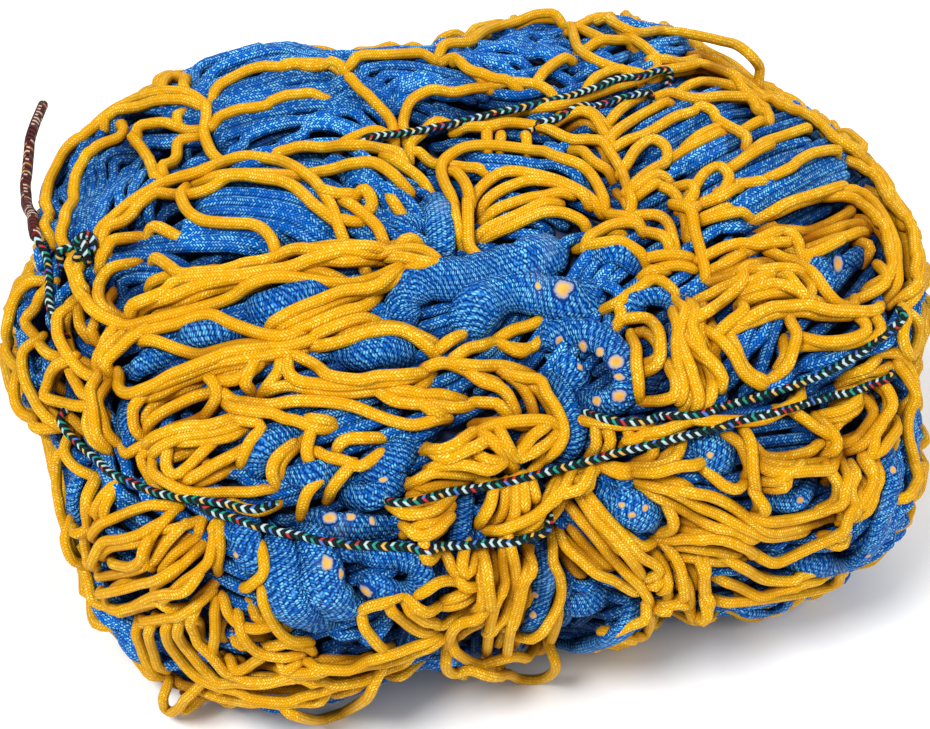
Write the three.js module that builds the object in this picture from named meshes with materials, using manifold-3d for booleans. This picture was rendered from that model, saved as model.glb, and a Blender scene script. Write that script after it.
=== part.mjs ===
// A football goal net of blue and yellow braided cord, gathered into a bundle and tied up with string.
// Millimetres, +Z up. The bundle lies on z = 0 with its front towards -Y and its length along X.
import * as THREE from "three";
import { mergeVertices } from "three/addons/utils/BufferGeometryUtils.js";
import Module from "manifold-3d";

const wasm = await Module();
wasm.setup();

// Driving dimensions of the bundle and of what it is made of
const BUNDLE_WIDTH = 378;
const BUNDLE_DEPTH = 300;
const BUNDLE_HEIGHT = 196;
const BOXINESS = 2.7;
const SAGGED_HEIGHT = 218;
const SAGGED_BOXINESS = 3.4;
const MIDDLE_HEIGHT = 90;
const CORD = 5;
const TWIST = 10;
const BORDER_ROPE = 13;
const TIE_STRING = 4;

// How closely the shapes are faceted and how far apart they lie
const BALL_DETAIL = 13;
const BAND_STEP = 25;
const ROPE_STEP = 14;
const STRING_STEP = 20;
const CLEARANCE = 1.2;
const TIGHT_CLEARANCE = 0.6;
const PROBE_SPACING = 3.2;
const OUTWARD_TILT = 1.4;

const MIDDLE = new THREE.Vector3(0, 0, MIDDLE_HEIGHT);

// The two places the bundle is charted from: its front, from the left and above, and its back.
// A place on a chart is [across, up] in mm on the plane through the aim, square to the line of sight.
const FRONT = chart({ bearing: -9, rise: 40, away: 812, aim: 78 });
const BACK = chart({ bearing: 176, rise: 32, away: 900, aim: 92 });

// Swellings and hollows of the whole bundle: where they sit, how wide they are and how far they stand out
const LOBES = [
  { name: "back left hank", bearing: -140, rise: 38, spread: 24, height: 4 },
  { name: "back right hump", bearing: 160, rise: 48, spread: 30, height: 10 },
  { name: "left bulge", bearing: -92, rise: 14, spread: 16, height: 9 },
  { name: "left foot", bearing: -72, rise: -26, spread: 22, height: -18 },
  { name: "left tuck", bearing: -76, rise: -6, spread: 18, height: -10 },
  { name: "right shoulder", bearing: 82, rise: 24, spread: 24, height: 14 },
  { name: "front left roll", bearing: -32, rise: -16, spread: 24, height: 6 },
  { name: "front right foot", bearing: 30, rise: -34, spread: 26, height: -12 },
  { name: "front foot", bearing: 2, rise: -32, spread: 20, height: -9 },
  { name: "middle cinch", bearing: 6, rise: 42, spread: 14, height: -12 },
  { name: "front notch", bearing: -4, rise: -22, spread: 11, height: -10 },
  { name: "right notch", bearing: 30, rise: -22, spread: 11, height: -8 },
  { name: "top notch", bearing: -168, rise: 52, spread: 10, height: -8 },
];

// Hanks of blue cord that swell the surface, and creases that the string and the folds press into it
const HANKS = [
  { from: FRONT, width: 42, height: 5, line: [[-126, 132], [-92, 140], [-56, 138], [-20, 132], [16, 125]] },
  { from: FRONT, width: 44, height: 8, line: [[-115, 100], [-79, 117], [-43, 120]] },
  { from: FRONT, width: 44, height: 8, line: [[-180, 67], [-168, 96], [-141, 114]] },
  { from: FRONT, width: 50, height: 8, line: [[-168, 47], [-128, 67], [-79, 72], [-34, 67]] },
  { from: FRONT, width: 40, height: 6, line: [[-155, 15], [-106, 24], [-61, 33]] },
  { from: FRONT, width: 58, height: 9, line: [[-106, -79], [-61, -101], [-16, -88]] },
  { from: FRONT, width: 56, height: 8, line: [[-159, -70], [-150, -106], [-128, -133]] },
  { from: FRONT, width: 48, height: 7, line: [[132, 15], [159, 29], [182, 47]] },
  { from: FRONT, width: 48, height: 8, line: [[106, -38], [141, -52], [177, -61]] },
  { from: FRONT, width: 46, height: 7, line: [[101, 65], [132, 87], [159, 101]] },
  { from: FRONT, width: 40, height: 8, line: [[11, 137], [43, 148], [79, 146], [115, 132]] },
  { from: FRONT, width: 24, height: -7, line: [[-11, 96], [-4, 60], [40, -14], [43, -70], [43, -132]] },
  { from: FRONT, width: 18, height: -4, line: [[-123, -61], [-29, -64], [70, -39], [182, -9]] },
  { from: BACK, width: 46, height: 8, line: [[-150, -10], [-60, 14], [40, 0], [120, 14]] },
  { from: BACK, width: 50, height: 8, line: [[-160, -80], [-70, -58], [30, -74], [130, -50]] },
  { from: BACK, width: 50, height: 8, line: [[-130, -130], [-40, -114], [60, -134], [150, -110]] },
  { from: BACK, width: 24, height: -7, line: [[-20, 40], [-10, -30], [-30, -100], [-14, -134]] },
];

// Sheaves of yellow cord on the outside: the twists of cord side by side, the layer, and the line they take
const SHEAVES = [
  { from: FRONT, twists: 2, layer: 0, line: [[-171, 29], [-119, 30], [-65, 42], [-16, 49]] },
  { from: FRONT, twists: 2, layer: 1, line: [[-175, -5], [-132, 6], [-79, 22], [-20, 36]] },
  { from: FRONT, twists: 2, layer: 0, line: [[-166, -29], [-137, -9], [-88, 6], [-29, 9], [-7, 6]] },
  { from: FRONT, twists: 2, layer: 1,
    line: [[-176, -52], [-150, -41], [-101, -18], [-52, -16], [7, -9], [36, -2]] },
  { from: FRONT, twists: 2, layer: 0, line: [[-177, 54], [-150, 76], [-101, 92], [-61, 92], [-29, 94]] },
  { from: FRONT, twists: 1, layer: 1, line: [[-183, 74], [-168, 99], [-128, 119], [-74, 122]] },
  { from: FRONT, twists: 2, layer: 2, line: [[-130, 130], [-117, 112], [-121, 87]] },
  { from: FRONT, twists: 1, layer: 0, line: [[-54, 134], [-38, 112], [-29, 98]] },
  { from: FRONT, twists: 2, layer: 1, line: [[-148, 119], [-123, 131], [-61, 139], [-11, 139], [16, 130]] },
  { from: FRONT, twists: 2, layer: 2,
    line: [[-11, 139], [16, 147], [47, 152], [83, 148], [123, 135], [146, 117]] },
  { from: FRONT, twists: 2, layer: 1, line: [[43, 150], [56, 134], [97, 121], [141, 114], [173, 92]] },
  { from: FRONT, twists: 2, layer: 2, line: [[-38, 98], [11, 110], [56, 114], [97, 124]] },
  { from: FRONT, twists: 2, layer: 0, line: [[79, 67], [115, 92], [164, 103]] },
  { from: FRONT, twists: 2, layer: 1, line: [[88, 42], [128, 67], [186, 78]] },
  { from: FRONT, twists: 2, layer: 0, line: [[101, -30], [101, 20], [132, 49], [182, 58], [200, 38]] },
  { from: FRONT, twists: 2, layer: 1, line: [[121, 42], [123, 2], [150, -7], [186, 7], [200, 15]] },
  { from: FRONT, twists: 2, layer: 2, line: [[4, 54], [11, 78], [43, 90], [72, 76], [84, 40], [101, -8]] },
  { from: FRONT, twists: 2, layer: 0, line: [[43, -66], [56, -88], [97, -99], [146, -97], [177, -81]] },
  { from: FRONT, twists: 2, layer: 1, line: [[61, -47], [97, -42], [132, -61], [177, -65], [193, -43]] },
  { from: FRONT, twists: 2, layer: 2, line: [[48, -78], [61, -34], [106, -30], [150, -23], [195, -14]] },
  { from: FRONT, twists: 2, layer: 0, line: [[-12, -40], [-7, -70], [-4, -101], [7, -128]] },
  { from: FRONT, twists: 2, layer: 1, line: [[12, -32], [25, -79], [29, -106], [14, -126]] },
  { from: FRONT, twists: 2, layer: 2, line: [[-104, -62], [-74, -52], [-29, -34], [16, -29], [76, -36]] },
  { from: FRONT, twists: 2, layer: 0,
    line: [[-166, 68], [-178, 46], [-180, 20], [-174, -16], [-177, -47], [-159, -79], [-141, -122]] },
  { from: FRONT, twists: 2, layer: 1, line: [[-168, -65], [-128, -74], [-101, -64], [-92, -124]] },
  { from: FRONT, twists: 2, layer: 2, line: [[-159, -100], [-119, -101], [-74, -113], [-8, -102]] },
  { from: FRONT, twists: 2, layer: 1, line: [[-143, -120], [-92, -139], [-38, -131], [8, -112]] },
  { from: FRONT, twists: 2, layer: 2, line: [[164, 105], [186, 78], [196, 40], [190, -10], [186, -60]] },
  { from: FRONT, twists: 1, layer: 2, line: [[-180, 42], [-202, 24], [-205, 4], [-195, -22], [-174, -32]] },
  { from: FRONT, twists: 1, layer: 2,
    line: [[-100, -136], [-79, -157], [-56, -160], [-34, -144], [-25, -124]] },
  { from: FRONT, twists: 1, layer: 0,
    line: [[-139, -118], [-137, -151], [-128, -156], [-119, -146], [-118, -120]] },
  { from: FRONT, twists: 1, layer: 0, line: [[14, -122], [29, -143], [40, -137], [36, -112]] },
  { from: BACK, twists: 2, layer: 0, line: [[-168, 0], [-90, 22], [-10, 18], [70, 26], [150, 6]] },
  { from: BACK, twists: 2, layer: 1, line: [[-190, -50], [-110, -26], [-20, -40], [80, -22], [180, -40]] },
  { from: BACK, twists: 2, layer: 0, line: [[-180, -90], [-90, -84], [0, -96], [90, -78], [186, -86]] },
  { from: BACK, twists: 2, layer: 1,
    line: [[-160, -130], [-70, -126], [20, -134], [110, -130], [170, -120]] },
  { from: BACK, twists: 2, layer: 2, line: [[-130, 40], [-104, -20], [-128, -80], [-96, -134]] },
  { from: BACK, twists: 2, layer: 2, line: [[20, 48], [-6, -10], [24, -70], [0, -134]] },
  { from: BACK, twists: 2, layer: 2, line: [[120, 30], [142, -20], [112, -70], [138, -130]] },
];

// Stretches of the thick blue border rope that lie on top of the gathered mesh
const BORDER_STRETCHES = [
  { name: "border_rope_knot", line: [[-24, 26], [0, 44], [22, 50], [48, 40], [52, 22]] },
  { name: "border_rope_middle", line: [[-4, 18], [14, 32], [30, 24], [38, 4], [56, -10], [72, 4]] },
  { name: "border_rope_drop", line: [[-10, 88], [-8, 70], [-12, 58]] },
  { name: "border_rope_lower_left", line: [[-96, -78], [-82, -104], [-52, -122], [-40, -96], [-62, -78]] },
  { name: "border_rope_right_corner", line: [[158, -90], [174, -74], [179, -52], [172, -32]] },
  { name: "border_rope_right_end", line: [[64, -62], [82, -72], [98, -70]] },
];

// Runs of string: each goes from the knot on the left round the bundle, over everything else
const STRING_RUNS = [
  {
    name: "tie_string_low",
    front: [[-182, 40], [-185, 9], [-182, -18], [-176, -34], [-159, -48], [-123, -61],
      [-84, -65], [-31, -61], [10, -55], [70, -39], [128, -24], [182, -9]],
    back: [[-188, -88], [-120, -100], [-40, -106], [60, -104], [150, -94], [182, -34], [184, 6]],
  },
  {
    name: "tie_string_high",
    front: [[-174, -46], [-148, -62], [-112, -70], [-70, -78], [-29, -82],
      [7, -81], [40, -69], [52, -40], [70, -25], [105, -21],
      [141, -12], [167, -1], [200, 22]],
    back: [[-184, -52], [-110, -62], [-20, -58], [80, -64], [166, -48]],
  },
  {
    name: "tie_string_top",
    front: [[-168, 62], [-120, 84], [-50, 101], [-13, 106], [46, 120], [76, 126]],
    back: [[-84, 40], [-92, -10], [-80, -48]],
  },
];

// The string's knot on the left flank, on the front chart, and the route of its free tail along the shoulder
const KNOT_PLACE = [-171, 52];
const KNOT_RADIUS = 4.8;
const KNOT_STRING = 3.4;
const TAIL_ROUTE = [
  [-172.5, -10.5, 174.5], [-174, 0, 172], [-175, 10, 169], [-176, 18, 166], [-178, 27, 162],
  [-180, 38, 158], [-181, 49, 155], [-182, 60, 153], [-182, 71, 151], [-182, 82, 150], [-182, 93, 149], [-182, 104, 148], [-181, 115, 147], [-180, 126, 145],
  [-179, 136, 143], [-178, 146, 141],
];

function heading(bearing, rise) {
  const turn = THREE.MathUtils.degToRad(bearing);
  const lift = THREE.MathUtils.degToRad(rise);
  return new THREE.Vector3(Math.sin(turn) * Math.cos(lift), -Math.cos(turn) * Math.cos(lift), Math.sin(lift));
}

// An eye that looks at the bundle, with the directions of its chart
function chart({ bearing, rise, away, aim }) {
  const towards = heading(bearing, rise);
  const across = heading(bearing + 90, 0);
  const up = new THREE.Vector3().crossVectors(towards, across);
  const target = new THREE.Vector3(0, 0, aim);
  return { across, up, target, eye: target.clone().addScaledVector(towards, away) };
}

// The distance from the middle to the main form: a ball with lobes, boxier where it sags to the floor
function mainForm(direction) {
  const sag = THREE.MathUtils.smoothstep(-direction.z, 0, 0.6);
  const power = THREE.MathUtils.lerp(BOXINESS, SAGGED_BOXINESS, sag);
  const height = THREE.MathUtils.lerp(BUNDLE_HEIGHT, SAGGED_HEIGHT, sag);
  const halves = [BUNDLE_WIDTH / 2, BUNDLE_DEPTH / 2, height / 2];
  const share = direction.toArray().map((part, axis) => Math.abs(part / halves[axis]) ** power);
  let distance = (share[0] + share[1] + share[2]) ** (-1 / power);
  for (const lobe of LOBES) {
    const apart = THREE.MathUtils.radToDeg(direction.angleTo(heading(lobe.bearing, lobe.rise))) / lobe.spread;
    distance += lobe.height * Math.exp(-apart * apart);
  }
  return distance;
}

// A closed ball whose points stand off the middle by what the form says, cut level where it lies on the floor
function ball(form) {
  const geometry = new THREE.IcosahedronGeometry(1, BALL_DETAIL);
  geometry.deleteAttribute("normal");
  geometry.deleteAttribute("uv");
  const closed = mergeVertices(geometry, 1e-5);
  const points = closed.getAttribute("position");
  const direction = new THREE.Vector3();
  for (let i = 0; i < points.count; i += 1) {
    direction.fromBufferAttribute(points, i).normalize();
    const floor = direction.z < 0 ? MIDDLE_HEIGHT / -direction.z : Infinity;
    direction.multiplyScalar(Math.min(form(direction), floor));
    points.setXYZ(i, direction.x, direction.y, Math.max(direction.z + MIDDLE_HEIGHT, 0));
  }
  closed.computeVertexNormals();
  return closed;
}

// Solids that later pieces are laid on
const laid = [];
const probe = new THREE.Raycaster();

function lay(geometry) {
  laid.push(new THREE.Mesh(geometry, new THREE.MeshBasicMaterial({ side: THREE.DoubleSide })));
}

// How far out from the middle the solids laid so far reach along a direction
function reach(direction) {
  probe.set(MIDDLE, direction);
  const hits = probe.intersectObjects(laid, false);
  return hits.length ? hits[hits.length - 1].distance : 0;
}

// Where a line of sight meets the bundle; past its edge a free loop stands out and other runs keep in
function sight(from, [across, up], free = false) {
  const through = from.target.clone().addScaledVector(from.across, across).addScaledVector(from.up, up);
  const towards = through.sub(from.eye).normalize();
  probe.set(from.eye, towards);
  const hits = probe.intersectObjects(laid, false);
  if (hits.length) return hits[0].point;
  const passing = probe.ray.closestPointToPoint(MIDDLE, new THREE.Vector3());
  if (!free) return edgePoint(passing);
  if (passing.z > CORD) return passing;
  return new THREE.Ray(from.eye, towards).at((from.eye.z - CORD / 2) / -towards.z, new THREE.Vector3());
}

function edgePoint(passing) {
  const direction = passing.sub(MIDDLE).normalize();
  return MIDDLE.clone().addScaledVector(direction, reach(direction));
}

// How much a hank or crease raises a point of the main form
function ridge(point, hank) {
  let nearest = Infinity;
  const foot = new THREE.Vector3();
  for (let i = 1; i < hank.track.length; i += 1) {
    new THREE.Line3(hank.track[i - 1], hank.track[i]).closestPointToPoint(point, true, foot);
    nearest = Math.min(nearest, foot.distanceTo(point));
  }
  const share = Math.min(nearest / (hank.width / 2), 1);
  return hank.height * Math.sqrt(1 - share * share);
}

function bundleForm(hanks) {
  return (direction) => {
    const distance = mainForm(direction);
    const point = MIDDLE.clone().addScaledVector(direction, distance);
    const heights = hanks.map((hank) => ridge(point, hank));
    return distance + Math.max(0, ...heights) + Math.min(0, ...heights);
  };
}

// A closed skin over a row of rings, with a fan at each end
function skin(rings) {
  const sides = rings[0].length;
  const points = rings.flat();
  const faces = [];
  for (let ring = 1; ring < rings.length; ring += 1) {
    for (let side = 0; side < sides; side += 1) {
      const next = (side + 1) % sides;
      const below = (ring - 1) * sides;
      const above = ring * sides;
      faces.push(below + side, below + next, above + next, below + side, above + next, above + side);
    }
  }
  const last = (rings.length - 1) * sides;
  const start = points.push(middleOf(rings[0])) - 1;
  const end = points.push(middleOf(rings[rings.length - 1])) - 1;
  for (let side = 0; side < sides; side += 1) {
    const next = (side + 1) % sides;
    faces.push(start, next, side, end, last + side, last + next);
  }
  const geometry = new THREE.BufferGeometry().setFromPoints(points);
  geometry.setIndex(faces);
  geometry.computeVertexNormals();
  return geometry;
}

function middleOf(ring) {
  const sum = ring.reduce((total, point) => total.add(point), new THREE.Vector3());
  return sum.divideScalar(ring.length);
}

// The section of cords lying side by side: flat below, a ridge for each twist of the sheaf above
function cordSection(twists) {
  const pitch = twists > 1 ? TWIST : CORD;
  const half = (twists * pitch) / 2;
  const inset = CORD * 0.2;
  const section = [[-half + inset, 0], [half - inset, 0], [half, CORD / 2]];
  for (let twist = twists - 1; twist >= 0; twist -= 1) {
    const crest = -half + (twist + 0.5) * pitch;
    section.push([crest, CORD]);
    if (twist > 0) section.push([crest - pitch / 2, CORD * 0.45]);
  }
  section.push([-half, CORD / 2]);
  return section;
}

// How high a round run's foot is at a place to the side of its lowest line; a sheaf's foot is flat
const roundFoot = (side, half) => half - Math.sqrt(Math.max(half * half - side * side, 0));
const flatFoot = () => 0;

function roundSection(diameter, sides) {
  const section = [];
  for (let side = 0; side < sides; side += 1) {
    const turn = (2 * Math.PI * side) / sides;
    section.push([Math.sin(turn) * diameter / 2, (1 - Math.cos(turn)) * diameter / 2]);
  }
  return section;
}

// Even places from one side of a run's foot to the other
function spacedOver(half) {
  const count = Math.ceil((2 * half) / PROBE_SPACING);
  return Array.from({ length: count + 1 }, (_, i) => half * ((2 * i) / count - 1));
}

// Seats along a path, raised wherever the foot of a run this wide would come too near what lies below
function seats(path, half, foot, step, lift) {
  const steps = Math.max(3, Math.round(path.getLength() / step));
  return Array.from({ length: steps + 1 }, (_, i) => {
    const point = path.getPointAt(i / steps);
    const along = path.getTangentAt(i / steps);
    const out = point.clone().sub(MIDDLE);
    out.z *= OUTWARD_TILT;
    out.addScaledVector(along, -out.dot(along)).normalize();
    const aside = new THREE.Vector3().crossVectors(out, along);
    let ground = -Infinity;
    for (const side of spacedOver(half)) {
      for (const ahead of spacedOver(step / 2)) {
        const spot = point.clone().sub(MIDDLE).addScaledVector(aside, side).addScaledVector(along, ahead);
        const far = spot.length();
        ground = Math.max(ground, reach(spot.normalize()) - far - foot(side, half));
      }
    }
    const before = path.getTangentAt(Math.max(i - 0.5, 0) / steps);
    const bend = before.angleTo(path.getTangentAt(Math.min(i + 0.5, steps) / steps));
    const rise = Math.max(ground + lift + (step * bend) / 8, 0);
    point.addScaledVector(point.clone().sub(MIDDLE).normalize(), rise);
    return { point, out, aside };
  });
}

// A run of cord, rope or string along a path, settled twice so that its lifted course also clears
function run(path, section, foot, step, lift) {
  const half = Math.max(...section.map(([side]) => side));
  const settled = smoothPath(seats(path, half, foot, step, lift).map(({ point }) => point));
  const rings = seats(settled, half, foot, step, lift).map(({ point, out, aside }) =>
    section.map(([side, height]) => point.clone().addScaledVector(aside, side).addScaledVector(out, height)));
  for (const point of rings.flat()) point.z = Math.max(point.z, CLEARANCE / 2);
  return skin(rings);
}

function smoothPath(points) {
  return new THREE.CatmullRomCurve3(points, false, "centripetal");
}

function solidOf(geometry) {
  return new wasm.Manifold(new wasm.Mesh({
    numProp: 3,
    vertProperties: new Float32Array(geometry.getAttribute("position").array),
    triVerts: new Uint32Array(geometry.index.array),
  }));
}

// The outer skin of a joined solid: pockets that crossing sheaves seal between them are filled
function outerSkin(solid) {
  const { vertProperties, triVerts } = solid.getMesh();
  const shellOf = Array.from({ length: vertProperties.length / 3 }, (_, index) => index);
  const rootOf = (index) => {
    let root = index;
    while (shellOf[root] !== root) root = shellOf[root];
    shellOf[index] = root;
    return root;
  };
  for (let i = 0; i < triVerts.length; i += 3) {
    shellOf[rootOf(triVerts[i + 1])] = rootOf(triVerts[i]);
    shellOf[rootOf(triVerts[i + 2])] = rootOf(triVerts[i]);
  }
  const shells = new Map();
  for (let i = 0; i < triVerts.length; i += 3) {
    const root = rootOf(triVerts[i]);
    if (!shells.has(root)) shells.set(root, []);
    shells.get(root).push(...triVerts.subarray(i, i + 3));
  }
  const faces = [...shells.values()].sort((one, other) => other.length - one.length)[0];
  const geometry = new THREE.BufferGeometry();
  geometry.setAttribute("position", new THREE.BufferAttribute(new Float32Array(vertProperties), 3));
  geometry.setIndex(faces);
  geometry.computeVertexNormals();
  return geometry;
}

const bundle = new THREE.Group();

function addPiece(name, geometry, colour, roughness) {
  const material = new THREE.MeshStandardMaterial({ color: colour, roughness, metalness: 0 });
  const mesh = new THREE.Mesh(geometry, material);
  mesh.name = name;
  bundle.add(mesh);
}

const BLUE = 0x1453b4;
const YELLOW = 0xf0ab14;
const BORDER_BLUE = 0x1c5fc4;
const STRING_DARK = 0x2b3a36;

// The gathered mesh: its main form first, and then that form with its hanks and creases
function makeBundleBody() {
  lay(ball(mainForm));
  const hanks = HANKS.map((hank) => {
    const path = smoothPath(hank.line.map((place) => sight(hank.from, place)));
    return { ...hank, track: path.getSpacedPoints(24) };
  });
  laid.length = 0;
  const body = ball(bundleForm(hanks));
  lay(body);
  return body;
}

// The outer sheaves of yellow cord, fused where they meet as the cords of the mesh are
function makeSheaves() {
  let joined = null;
  for (const sheaf of SHEAVES) {
    const path = smoothPath(sheaf.line.map((place) => sight(sheaf.from, place, sheaf.twists === 1)));
    const lift = CLEARANCE + sheaf.layer * CORD * 0.3;
    const solid = solidOf(run(path, cordSection(sheaf.twists), flatFoot, BAND_STEP, lift));
    joined = joined ? joined.add(solid) : solid;
  }
  return outerSkin(joined);
}

function makeBorderRope({ line }) {
  const path = smoothPath(line.map((place) => sight(FRONT, place)));
  return run(path, roundSection(BORDER_ROPE, 9), roundFoot, ROPE_STEP, TIGHT_CLEARANCE);
}

function makeStringRun({ front, back }) {
  const places = front.map((place) => sight(FRONT, place)).concat(back.map((place) => sight(BACK, place)));
  return run(smoothPath(places), roundSection(TIE_STRING, 8), flatFoot, STRING_STEP, TIGHT_CLEARANCE);
}

// An overhand knot of string, drawn up tight and lying on the flank
function makeKnot() {
  const geometry = new THREE.TorusKnotGeometry(KNOT_RADIUS, KNOT_STRING / 2, 40, 6, 2, 3);
  geometry.deleteAttribute("normal");
  geometry.deleteAttribute("uv");
  const place = sight(FRONT, KNOT_PLACE);
  const out = place.clone().sub(MIDDLE).normalize();
  const turn = new THREE.Quaternion().setFromUnitVectors(new THREE.Vector3(0, 0, 1), out);
  geometry.applyQuaternion(turn);
  let ground = -Infinity;
  for (const side of spacedOver(KNOT_RADIUS)) {
    for (const ahead of spacedOver(KNOT_RADIUS)) {
      const spot = new THREE.Vector3(side, ahead, 0).applyQuaternion(turn).add(place).sub(MIDDLE);
      const far = spot.length();
      ground = Math.max(ground, reach(spot.normalize()) - far);
    }
  }
  place.addScaledVector(out, ground + KNOT_RADIUS / 2 + KNOT_STRING / 2);
  geometry.translate(place.x, place.y, place.z);
  return mergeVertices(geometry, 1e-3);
}

function makeTail() {
  const path = smoothPath(TAIL_ROUTE.map((place) => new THREE.Vector3(...place)));
  return run(path, roundSection(TIE_STRING, 8), flatFoot, STRING_STEP / 2, TIGHT_CLEARANCE);
}

addPiece("net_blue", makeBundleBody(), BLUE, 0.7);
const sheaves = makeSheaves();
addPiece("net_yellow", sheaves, YELLOW, 0.7);
lay(sheaves);
for (const stretch of BORDER_STRETCHES) {
  const rope = makeBorderRope(stretch);
  addPiece(stretch.name, rope, BORDER_BLUE, 0.7);
  lay(rope);
}
for (const stringRun of STRING_RUNS) {
  const string = makeStringRun(stringRun);
  addPiece(stringRun.name, string, STRING_DARK, 0.6);
  lay(string);
}
const knot = makeKnot();
addPiece("tie_knot", knot, STRING_DARK, 0.6);
lay(knot);
addPiece("tie_tail", makeTail(), STRING_DARK, 0.6);

// The bundle is set square over its origin
const middleOfBox = new THREE.Box3().setFromObject(bundle).getCenter(new THREE.Vector3());
bundle.position.set(-middleOfBox.x, -middleOfBox.y, 0);

export default bundle;
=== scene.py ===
import math

import bpy
import numpy as np
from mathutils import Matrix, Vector
from mathutils.bvhtree import BVHTree
from numpy.lib.stride_tricks import sliding_window_view


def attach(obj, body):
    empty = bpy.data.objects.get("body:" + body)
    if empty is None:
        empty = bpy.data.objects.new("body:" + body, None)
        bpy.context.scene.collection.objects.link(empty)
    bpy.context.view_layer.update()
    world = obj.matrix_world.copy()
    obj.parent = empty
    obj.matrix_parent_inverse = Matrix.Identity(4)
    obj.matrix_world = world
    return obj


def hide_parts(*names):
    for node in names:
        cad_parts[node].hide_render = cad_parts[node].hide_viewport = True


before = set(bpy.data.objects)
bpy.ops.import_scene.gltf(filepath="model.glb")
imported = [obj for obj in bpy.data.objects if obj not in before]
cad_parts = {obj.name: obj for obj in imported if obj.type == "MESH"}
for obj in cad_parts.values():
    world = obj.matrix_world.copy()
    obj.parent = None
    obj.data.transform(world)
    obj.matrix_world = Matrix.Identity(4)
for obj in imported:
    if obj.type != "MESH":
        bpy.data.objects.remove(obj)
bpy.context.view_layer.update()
bpy.ops.object.select_all(action="DESELECT")

# Lengths in this script are in millimetres, and the scene is in metres
MM = 0.001
PER_METRE = 1000

# Thicknesses
YELLOW_CORD = 5.25
BLUE_CORD = 5.0
TIE_STRING = 3.2
TAIL_STRING = 4.8

# How wide a column of each braid is
YELLOW_COLUMN = 1.5
BLUE_COLUMN = 1.6
ROPE_COLUMN = 1.6
STRING_COLUMN = 2.2
TAIL_COLUMN = 3.6

# How many columns the tie's braid is turned round, so that the seam between two of them shows
TIE_LEAD = 0.44

# The bundle's middle, and how deep under its skin its dark inside and its first layer of cords lie
MIDDLE = np.array((0.794, 4.528, 90.0))
CORE_DEPTH = 7.0
FIRST_DEPTH = 4.0

# How far the pile of cords may rise over the bundle's skin
STACK_LIMIT = 13.0

# How far a cord may stand off what is under it: as a rule, past the bundle's edge, by the floor, and loose
FREE_LIMIT = 16.0
CLEAR_LIMIT = 6.0
FLOOR_LIMIT = 26.0
LOOSE_LIMIT = 34.0

# How far a cord presses into what is under it, and how much further it may sink, in half thicknesses
PRESS = 0.8
SINK = 0.7

# The picture's size in dots, the camera's lens and sensor, and the dots of a millimetre at the aim
PICTURE = (930, 729)
LENS = 70.0
SENSOR = 36.0
DOTS_PER_MM = 2.227


def unit(rows):
    """Each row with a length of 1."""
    return rows / np.maximum(np.linalg.norm(rows, axis=-1, keepdims=True), 1e-9)


class Outlook:
    """A place to look at the bundle from: bearing and rise in degrees, away and aim in millimetres."""

    def __init__(self, bearing, rise, away, aim):
        turn, lift = math.radians(bearing), math.radians(rise)
        self.back = np.array(
            (
                math.sin(turn) * math.cos(lift),
                -math.cos(turn) * math.cos(lift),
                math.sin(lift),
            )
        )
        self.right = np.array((math.cos(turn), math.sin(turn), 0.0))
        self.up = np.cross(self.back, self.right)
        self.aim = np.array((MIDDLE[0], MIDDLE[1], aim))
        self.away = away
        self.eye = self.aim + self.back * away

    def sight(self, spots):
        """Unit directions from the eye through spots, millimetres right of and above the aim."""
        spots = np.asarray(spots, float)
        marks = self.aim + spots[:, :1] * self.right + spots[:, 1:2] * self.up
        return unit(marks - self.eye)

    def spot(self, points):
        """Where points show, in millimetres right of and above the aim."""
        rel = points - self.eye
        depth = -(rel @ self.back)
        return np.stack(((rel @ self.right), (rel @ self.up)), -1) * (self.away / depth)[:, None]


# The camera's outlook, and those for what the camera doesn't see
AWAY = 812
FRONT = Outlook(-9, 40, AWAY, 78)
BACK = Outlook(171, 30, AWAY, 84)
TIE_BACK = Outlook(176, 32, 900, 92)
LOW_SIDES = (
    Outlook(81, 6, AWAY, 84),
    Outlook(-99, 6, AWAY, 84),
    Outlook(-9, 2, AWAY, 84),
    Outlook(171, 2, AWAY, 84),
)
ABOVE = Outlook(-9, 84, AWAY, 84)


def dots(points):
    """Millimetres right of and above the aim, from dots counted from the picture's upper left corner."""
    points = np.asarray(points, float)
    across = (points[:, 0] - PICTURE[0] / 2) / DOTS_PER_MM
    up = (PICTURE[1] / 2 - points[:, 1]) / DOTS_PER_MM
    return np.stack((across, up), -1)


def places(text):
    """The places of a cord, from its row of dots."""
    return np.array([[float(n) for n in pair.split(",")] for pair in text.split()])


# Camera
camera_data = bpy.data.cameras.new("camera")
camera_data.lens = LENS
camera_data.sensor_width = SENSOR
camera = bpy.data.objects.new("camera", camera_data)
bpy.context.scene.collection.objects.link(camera)
camera.location = Vector(FRONT.eye * MM)
camera.rotation_mode = "QUATERNION"
camera.rotation_quaternion = Vector(-FRONT.back).to_track_quat("-Z", "Y")
camera_data.clip_start = 0.01
camera_data.clip_end = 50
bpy.context.scene.camera = camera


# A Mix node's sockets for two colours and for what they make
FIRST_COLOUR = 6
SECOND_COLOUR = 7
MIXED_COLOUR = 2

# The braid: how far a column is set off from the last, its height at a column's edge, and the cords' shades
COLUMN_OFFSET = 0.5
EDGE_HEIGHT = 0.25
CORD_SHADES = 90.0


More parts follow.
